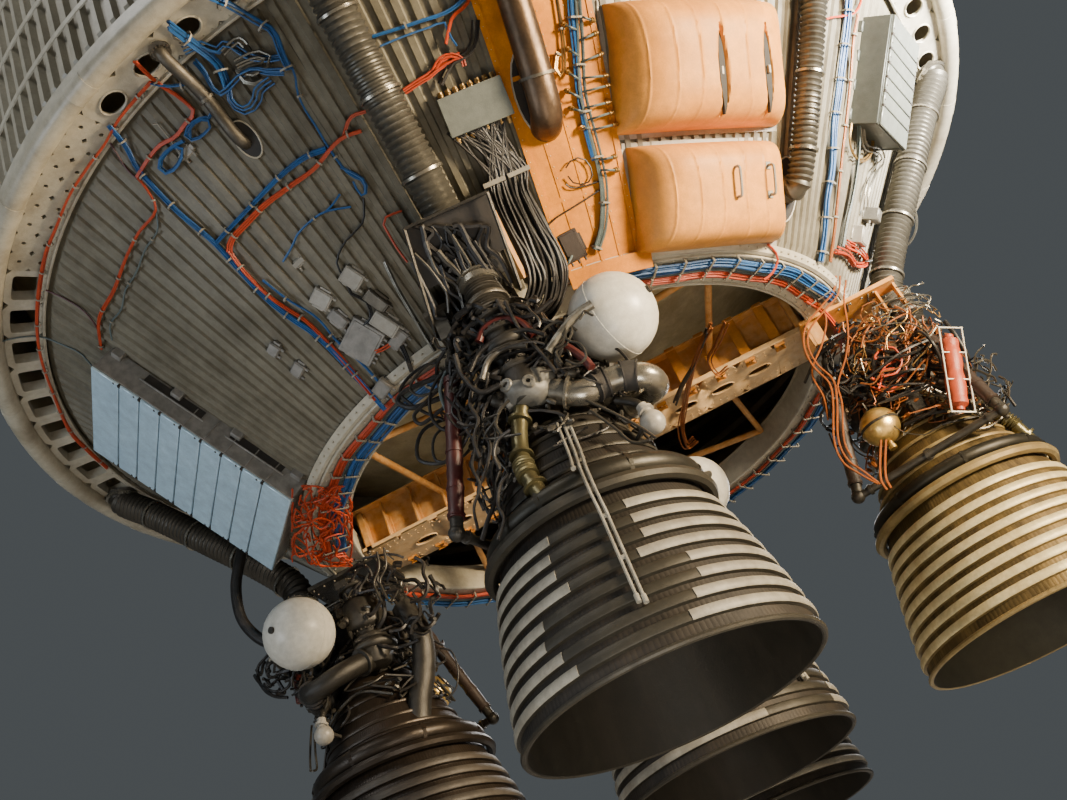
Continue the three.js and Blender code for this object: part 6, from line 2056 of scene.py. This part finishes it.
# Harness on the cone. Each run: look, cables, cable radius, spread, lift, tie spacing, pixels
runs = [
    ("blue", 5, 0.0085, 0.022, 0.050, 0.30, [(109, 126), (126, 147), (137, 168), (156, 190), (181, 215),
        (213, 242), (238, 269), (263, 296), (290, 318), (316, 336), (345, 365), (385, 410)]),
    ("orange", 4, 0.0085, 0.020, 0.052, 0.30, [(229, 251), (244, 272), (268, 296), (288, 310), (307, 322),
        (331, 346), (353, 372), (376, 400)]),
    ("blue", 2, 0.0075, 0.012, 0.050, 0.45, [(262, 281), (288, 301), (316, 318), (337, 342),
        (364, 366), (392, 398)]),
    ("blue", 3, 0.0085, 0.016, 0.050, 0.30, [(216, 243), (220, 238), (238, 219), (259, 197), (281, 175),
        (305, 157), (326, 149)]),
    ("orange", 4, 0.0085, 0.017, 0.052, 0.30, [(229, 252), (231, 240), (246, 223), (266, 203), (292, 184),
        (314, 168), (333, 145), (344, 136), (361, 130)]),
    ("orange", 2, 0.0080, 0.010, 0.050, 0, [(344, 136), (351, 118), (366, 112)]),
    ("blue", 2, 0.0080, 0.010, 0.045, 0.5, [(290, 62), (296, 76), (298, 92), (306, 110), (316, 125),
        (329, 147), (348, 172), (364, 181), (366, 194)]),
    ("blue", 2, 0.0070, 0.012, 0.050, 0, [(341, 166), (352, 171), (364, 178), (368, 189), (364, 198),
        (357, 192), (352, 182)]),
    ("black", 1, 0.0080, 0.004, 0.045, 0, [(364, 198), (364, 220), (355, 232), (344, 244), (337, 262),
        (344, 277), (356, 290)]),
    ("blue", 1, 0.0090, 0.004, 0.045, 0.6, [(351, 207), (325, 212), (310, 222), (298, 234),
        (292, 247), (283, 262)]),
    ("blue", 1, 0.0080, 0.004, 0.045, 0, [(340, 194), (332, 205), (325, 212)]),
    ("orange", 1, 0.0090, 0.004, 0.045, 0, [(402, 211), (388, 216), (383, 222), (389, 234),
        (398, 249), (408, 262)]),
    ("orange", 3, 0.0100, 0.014, 0.050, 0.45, [(135, 61), (152, 78), (165, 88), (179, 97), (194, 112),
        (185, 124), (175, 137), (160, 145), (149, 158), (137, 177)]),
    ("orange", 3, 0.0100, 0.014, 0.050, 0.32, [(152, 82), (135, 101), (118, 122), (105, 145), (88, 168),
        (70, 196), (57, 227), (45, 259), (38, 309), (40, 351), (51, 387), (69, 429), (88, 450), (108, 468)]),
    ("orange", 2, 0.0095, 0.010, 0.048, 0.42, [(137, 177), (147, 189), (156, 210), (139, 232), (126, 258),
        (114, 290), (99, 319), (101, 349)]),
    ("red", 1, 0.0090, 0.004, 0.048, 0, [(110, 143), (126, 168), (137, 179)]),
    ("red", 1, 0.0080, 0.004, 0.040, 0, [(46, 290), (60, 296), (82, 309), (97, 327), (101, 342)]),
    ("grey", 1, 0.0080, 0.004, 0.040, 0.5, [(156, 211), (157, 231), (145, 249), (136, 272), (125, 290),
        (121, 309), (110, 324), (112, 340)]),
    ("grey", 1, 0.0080, 0.004, 0.035, 0, [(2, 341), (22, 337), (42, 337), (63, 345), (80, 353), (92, 366)]),
    ("blue", 7, 0.0090, 0.040, 0.070, 0.34, [(168, 25), (190, 42), (210, 57), (221, 70), (227, 88)]),
    ("blue", 6, 0.0090, 0.040, 0.070, 0.34, [(200, -6), (217, 0), (236, 10), (256, 22), (272, 32),
        (280, 53), (288, 70)]),
    ("blue", 3, 0.0080, 0.050, 0.060, 0, [(229, 90), (231, 101), (238, 108), (246, 110), (255, 103),
        (258, 90), (264, 84), (271, 79)]),
    ("blue", 4, 0.0080, 0.050, 0.070, 0, [(196, 60), (206, 72), (214, 88), (222, 93), (232, 84), (240, 76),
        (254, 70), (268, 72), (284, 72)]),
    ("blue", 4, 0.0080, 0.045, 0.070, 0, [(184, 52), (200, 46), (216, 52), (226, 44), (236, 50), (250, 58),
        (266, 60), (280, 58)]),
    ("blue", 3, 0.0080, 0.020, 0.060, 0.5, [(150, 84), (165, 87), (180, 86), (198, 84), (206, 96),
        (212, 112), (208, 118)]),
    ("blue", 3, 0.0080, 0.018, 0.060, 0, [(208, 118), (198, 120), (188, 128), (186, 136), (194, 140),
        (204, 134), (211, 125), (205, 119), (195, 122), (189, 130), (190, 137)]),
    ("blue", 3, 0.0080, 0.018, 0.060, 0, [(184, 142), (176, 146), (166, 154), (160, 164), (164, 172),
        (174, 168), (180, 158), (182, 150), (174, 148)]),
    ("tube", 2, 0.0110, 0.030, 0.075, 0, [(223, 53), (238, 40), (246, 46)]),
    ("tube", 3, 0.0110, 0.035, 0.080, 0, [(236, 64), (250, 57), (264, 55), (268, 62), (254, 68), (240, 74),
        (252, 80), (262, 76)]),
    ("tie", 1, 0.0070, 0.004, 0.050, 0, [(153, 124), (156, 122), (166, 134), (178, 150), (184, 158)]),
    ("blue", 3, 0.0100, 0.018, 0.060, 0.5, [(372, 36), (400, 27), (418, 21), (447, 11), (466, -4)]),
    ("blue", 1, 0.0085, 0.004, 0.060, 0, [(380, 46), (404, 36), (430, 27), (444, 22), (449, 34), (457, 46)]),
    ("orange", 3, 0.0090, 0.018, 0.065, 0, [(471, -4), (466, 6), (453, 17), (449, 30), (446, 44)]),
    ("orange", 4, 0.0080, 0.030, 0.060, 0,
     [(403, 90), (418, 80), (430, 73), (437, 66), (451, 58), (460, 54)]),
    ("orange", 3, 0.0080, 0.022, 0.065, 0, [(433, 70), (440, 58), (452, 54), (463, 58), (466, 66)]),
    ("black", 4, 0.0080, 0.030, 0.065, 0, [(440, 84), (452, 62), (466, 56), (474, 42), (476, 20)]),
    ("grey", 6, 0.0095, 0.026, 0.060, 0.34, [(576, -6), (577, 10), (579, 38), (581, 86), (586, 112),
        (592, 134), (600, 166), (604, 191), (603, 226), (596, 250)]),
    ("blue", 3, 0.0090, 0.022, 0.062, 0.34,
     [(570, -6), (572, 20), (576, 50), (580, 90), (588, 130), (596, 160)]),
    ("fitting", 2, 0.0080, 0.012, 0.058, 0.5,
     [(556, -6), (560, 20), (563, 46), (563, 74), (556, 70), (558, 52)]),
    ("black", 1, 0.0070, 0.004, 0.055, 0, [(603, 188), (588, 198), (572, 208), (556, 218),
        (546, 228), (543, 238)]),
    ("black", 1, 0.0060, 0.004, 0.060, 0, [(566, 168), (572, 160), (582, 158), (590, 166), (592, 178),
        (584, 184), (574, 183), (568, 176)]),
    ("black", 1, 0.0060, 0.004, 0.055, 0, [(566, 184), (572, 188), (584, 186), (600, 181)]),
    ("blue", 7, 0.0095, 0.034, 0.060, 0.30, [(849, -6), (848, 10), (846, 32), (842, 63), (838, 95),
        (834, 126), (832, 168), (827, 200), (825, 232), (821, 262)]),
    ("orange", 2, 0.0090, 0.012, 0.055, 0, [(822, 21), (832, 18), (852, 15), (860, 6), (862, -4)]),
    ("copper", 3, 0.0085, 0.014, 0.050, 0.4, [(858, 14), (853, 42), (850, 80), (846, 118), (842, 150),
        (838, 190), (834, 230), (830, 262)]),
    ("fitting", 3, 0.0080, 0.020, 0.060, 0, [(852, 124), (850, 140), (854, 154), (862, 160), (870, 154),
        (873, 140), (872, 126)]),
    ("grey", 4, 0.0080, 0.028, 0.065, 0, [(858, 124), (858, 146), (856, 170), (852, 196),
        (846, 222), (842, 246)]),
    ("tube", 3, 0.0080, 0.030, 0.075, 0, [(862, 124), (866, 146), (880, 150), (884, 160), (876, 170),
        (868, 190), (866, 210)]),
    ("orange", 5, 0.0085, 0.040, 0.060, 0, [(836, 250), (848, 254), (856, 264), (866, 262),
        (860, 252), (846, 244)]),
    ("tube", 3, 0.0075, 0.020, 0.085, 0, [(866, 262), (884, 258), (904, 248), (914, 236),
        (916, 220), (912, 206)]),
    ("blue", 3, 0.0085, 0.020, 0.055, 0.4, [(776, 30), (778, 60), (778, 90), (776, 110)]),
    ("orange", 1, 0.0100, 0.004, 0.050, 0, [(768, 244), (776, 252), (778, 262), (772, 274), (764, 280)]),
    ("black", 3, 0.0080, 0.020, 0.060, 0, [(372, 296), (380, 312), (392, 330), (404, 350), (412, 372)]),
    ("tube", 3, 0.0070, 0.018, 0.060, 0, [(384, 262), (396, 288), (410, 312), (424, 336), (434, 352)]),
    ("orange", 2, 0.0080, 0.014, 0.055, 0, [(362, 352), (378, 352), (392, 344), (400, 334)]),
    ("black", 2, 0.0080, 0.016, 0.060, 0, [(345, 276), (352, 294), (366, 300), (372, 318), (360, 330)]),
]


# makeHarness: the cable bundles of each look, and the ties
def makeHarness():
    byLook, ties = {}, []
    for k, (look, count, radius, gap, lift, spacing, pixels) in enumerate(runs):
        route = smooth(pixelsOnCone(pixels, lift), 8)
        route = evenly(route, max(int(lengths(route)[-1] / 0.055), 8))
        byLook.setdefault(look, []).extend(bundle(route, count, radius, gap, 700 + k, 0.6))
        if spacing:
            ties.append(clampsOn(route, spacing, gap * 1.25 + radius, 0.014, 0.003))
    for look, parts in byLook.items():
        piece(f"harness_{look}", parts, look)
    piece("harness_ties", ties, "tie")


makeHarness()

# Branches with plugs beside the two cable columns: from pixel, to pixel
branches = [((580, 16), (591, 20)), ((580, 40), (594, 34)), ((581, 62), (599, 55)), ((582, 78), (604, 76)),
            ((582, 92), (606, 86)), ((584, 108), (606, 103)), ((588, 120), (610, 113)),
            ((592, 130), (613, 125)), ((577, 30), (565, 25)), ((579, 56), (569, 50)), ((580, 80), (569, 73)),
            ((581, 98), (569, 92)), ((585, 112), (573, 109)), ((590, 128), (583, 128)),
            ((600, 160), (613, 157)), ((601, 170), (615, 170)), ((560, 250), (548, 262)),
            ((572, 256), (566, 268))]


# makeBranches: short wires that leave the columns, each with a plug
def makeBranches():
    wires, plugs = [], []
    for start, end in branches:
        a, b = pixelsOnCone([start], 0.055)[0], pixelsOnCone([end], 0.075)[0]
        middle = (a + b) / 2 + (pixelsOnCone([start], 0.105)[0] - a)
        wires.append(tube([a, middle, b], 0.0095, 6, 4))
        outward = (b - middle) / np.linalg.norm(b - middle)
        plugs += [rod(b - outward * 0.01, b + outward * 0.040, 0.017, 12),
                  rod(b + outward * 0.010, b + outward * 0.022, 0.022, 12)]
    piece("branch_wires", wires, "grey")
    piece("branch_plugs", plugs, "fitting")


makeBranches()

# The black cables from the distribution plate through a two-part clamp to the front engine. The left and
# right edge routes are pixels; lifts are the heights of their points off the cone.
trunk = {"count": 26, "radius": 0.0125, "clampAt": ((486, 186), (527, 168)),
         "left": [(447, 133), (470, 158), (490, 181), (497, 205), (510, 232), (521, 258), (528, 282),
                  (522, 304), (508, 318), (494, 330)],
         "right": [(505, 111), (517, 138), (524, 166), (529, 190), (544, 220), (559, 246), (567, 272),
                   (564, 298), (552, 316), (538, 332)],
         "lifts": (0.085, 0.085, 0.090, 0.14, 0.22, 0.28, 0.32, 0.34, 0.36, 0.40)}


# makeTrunk: each cable mixes the two edge routes by its own share; then the clamp
def makeTrunk():
    t = trunk
    place = polar(0, engineCircle, gimbalZ)
    rng = np.random.default_rng(91)
    left, right = np.array(t["left"], float), np.array(t["right"], float)
    lifts = np.array(t["lifts"])
    share = np.linspace(0, 1, t["count"])
    first, cables = rng.permutation(share), []
    n = len(left)
    for k in range(t["count"]):
        early = [first[k], first[k] * 0.5 + share[k] * 0.5]
        mix = np.concatenate([early, np.full(n - 2, share[k])])[:, None]
        jitter = np.vstack([np.zeros((1, 2)), rng.uniform(-1.8, 1.8, (n - 1, 2))])
        points = left * (1 - mix) + right * mix + jitter
        heights = lifts + 0.05 * np.sin(k * 2.1) * np.clip(np.arange(n) - 2, 0, 2) / 2
        route = np.vstack([pixelsOnCone([p], h) for p, h in zip(points, heights)])
        cables.append((smooth(route, 5) - place, t["radius"] * rng.uniform(0.8, 1.15)))
    hungCables("trunk_cables", cables, "black", "b", (0.55, -0.02, -0.12), place, np.eye(3))
    bars = []
    start, end = np.array(t["clampAt"], float)
    for low, high in ((-0.06, 0.47), (0.53, 1.06)):
        a, b = start + (end - start) * low, start + (end - start) * high
        for lift in (0.060, 0.118):
            bars.append(rod(pixelsOnCone([a], lift)[0], pixelsOnCone([b], lift)[0], 0.024, 4))
    piece("trunk_clamp", bars, "tie")
    stay = smooth(pixelsOnCone([(492, 212), (508, 246), (524, 278)], 0.34), 4)
    piece("duct_frame_stay", [swept(stay, 0.030, 4)], "beamPrimer")


makeTrunk()

# Harness under the lower ring, in each quarter between the beam's arms. Each run: look, cables, cable
# radius, spread, the ring's radius, its radius in the last quarter, height
ringRuns = [("blue", 11, 0.0095, 0.050, 2.600, 2.440, -4.394),
            ("orange", 7, 0.0095, 0.030, 2.470, 2.575, -4.392),
            ("grey", 4, 0.0085, 0.020, 2.530, 2.510, -4.388)]


# makeRingHarness: each run's cables in four quarters, with clips
def makeRingHarness():
    clips = []
    for look, count, radius, gap, usual, last, z in ringRuns:
        parts = []
        for quarter, (low, high) in enumerate(((14, 76), (104, 166), (194, 256), (284, 346))):
            ringRadius = last if quarter == 3 else usual
            a = np.linspace(low, high, 30)
            wander = 0.012 * np.sin(a * 0.35 + quarter)
            route = polar(a, ringRadius + wander, z - 0.010)
            parts += bundle(route, count, radius, gap, 40 + quarter, 0.45)
            at = np.arange(low + 2, high, 5.6)
            if look != "grey":
                inner, outer = -ringRadius + gap + 0.014, -ringRadius - gap - 0.014
                clip = block((-0.010, outer, z - 0.044), (0.010, inner, z - 0.036), 0.002)
                clips.append(roundCopies(clip, at))
                for side in (-1, 1):
                    y = -ringRadius + side * (gap + 0.012)
                    clip = block((-0.010, y - 0.003, z - 0.044), (0.010, y + 0.003, ringZ + 0.004), 0.001)
                    clips.append(roundCopies(clip, at))
        piece(f"ring_{look}_bundle", parts, look)
    piece("ring_clips", clips, "tie")


makeRingHarness()

# Cables that hang from the beam towards the right-hand engine, and the orange tangle by the left-hand one
hanging = [("copper", 7, 0.007, 0.050, [(712, 326), (702, 345), (693, 372), (686, 404), (682, 428),
                                        (687, 446), (696, 440)]),
           ("black", 3, 0.010, 0.040, [(707, 330), (698, 356), (684, 382), (676, 402)]),
           ("copper", 3, 0.007, 0.030, [(726, 322), (716, 344), (708, 360), (716, 374), (728, 366)]),
           ("orange", 4, 0.010, 0.028, [(806, 300), (824, 312), (838, 330), (846, 352)])]


# makeHanging: cables that hang before the engines, and the tangle
def makeHanging():
    byLook = {}
    for k, (look, count, radius, gap, pixels) in enumerate(hanging):
        route = smooth(pixelsAtHeight(pixels, ringZ - 0.045), 8)
        byLook.setdefault(look, []).extend(bundle(route, count, radius, gap, 300 + k, 0.8))
    # the orange tangle between the left box and the lower ring: random loops inside one patch of pixels
    rng = np.random.default_rng(17)
    for k in range(60):
        start = rng.uniform((300, 492), (346, 560))
        points = start + np.cumsum(rng.uniform(-13, 13, (6, 2)), 0)
        points = np.clip(points, (292, 486), (352, 566))
        line = pixelsAtHeight(points, ringZ - rng.uniform(0.02, 0.10))
        byLook.setdefault("orange", []).append(tube(line, 0.008, 5, 3))
    for look, parts in byLook.items():
        piece(f"hanging_{look}", parts, look)


makeHanging()
print("stage: harness")


# Floor and light
studio = {"floor": (0.62, 0.60, 0.57), "floorZ": -9.60, "sky": (0.42, 0.47, 0.50), "skyStrength": 0.17}


# makeStudio: the floor and the sky
def makeStudio():
    mesh = bpy.data.meshes.new("studioFloor")
    h = 40.0
    mesh.from_pydata([(-h, -h, 0), (h, -h, 0), (h, h, 0), (-h, h, 0)], [], [(0, 1, 2, 3)])
    floor = bpy.data.objects.new("studioFloor", mesh)
    floor.location = (0, 0, studio["floorZ"])
    material = bpy.data.materials.new("studioFloor")
    material.use_nodes = True
    surface = material.node_tree.nodes["Principled BSDF"]
    surface.inputs["Base Color"].default_value = (*studio["floor"], 1)
    surface.inputs["Roughness"].default_value = 0.9
    mesh.materials.append(material)
    bpy.context.scene.collection.objects.link(floor)
    world = bpy.data.worlds.new("studioSky")
    world.use_nodes = True
    world.node_tree.nodes["Background"].inputs["Color"].default_value = (*studio["sky"], 1)
    world.node_tree.nodes["Background"].inputs["Strength"].default_value = studio["skyStrength"]
    bpy.context.scene.world = world


# Soft lights: name, place, aim, size, power in watts, colour, spread in radians
lamps = [
    ("warmKey", (9.6, -6.2, -5.8), (2.0, -1.5, -4.0), 2.2, 2350, (1.0, 0.80, 0.54), 2.3),
    ("rightWash", (7.2, -3.0, -4.3), (4.7, -0.9, -2.1), 1.2, 900, (1.0, 0.97, 0.92), 1.5),
    ("coolFill", (-9.0, -9.0, -6.0), (-2.6, -1.0, -3.0), 4.0, 215, (0.80, 0.89, 1.0), 2.3),
    ("lowFill", (0.0, -5.5, -8.8), (0.0, 0.0, -4.0), 1.6, 60, (1.0, 0.95, 0.88), 2.6),
    ("topSoft", (-6.0, -12.0, 9.0), (0.0, 0.0, 0.0), 8.0, 1000, (1.0, 0.98, 0.95), 3.0),
    ("backSoft", (5.0, 17.0, 3.0), (0.0, 0.0, -3.0), 9.0, 1800, (1.0, 0.98, 0.95), 3.0),
]


# makeLamps: area lights round the object
def makeLamps():
    for name, place, aim, size, power, colour, wide in lamps:
        data = bpy.data.lights.new(name, "AREA")
        data.shape, data.size, data.energy, data.color, data.spread = "DISK", size, power, colour, wide
        lamp = bpy.data.objects.new(name, data)
        turn = np.eye(4)
        turn[:3, :3] = facing(np.subtract(place, aim))[0]
        turn[:3, 3] = place
        lamp.matrix_world = Matrix(turn.tolist())
        bpy.context.scene.collection.objects.link(lamp)


makeStudio()
makeLamps()
print("stage: floor and light")

bpy.context.view_layer.update()
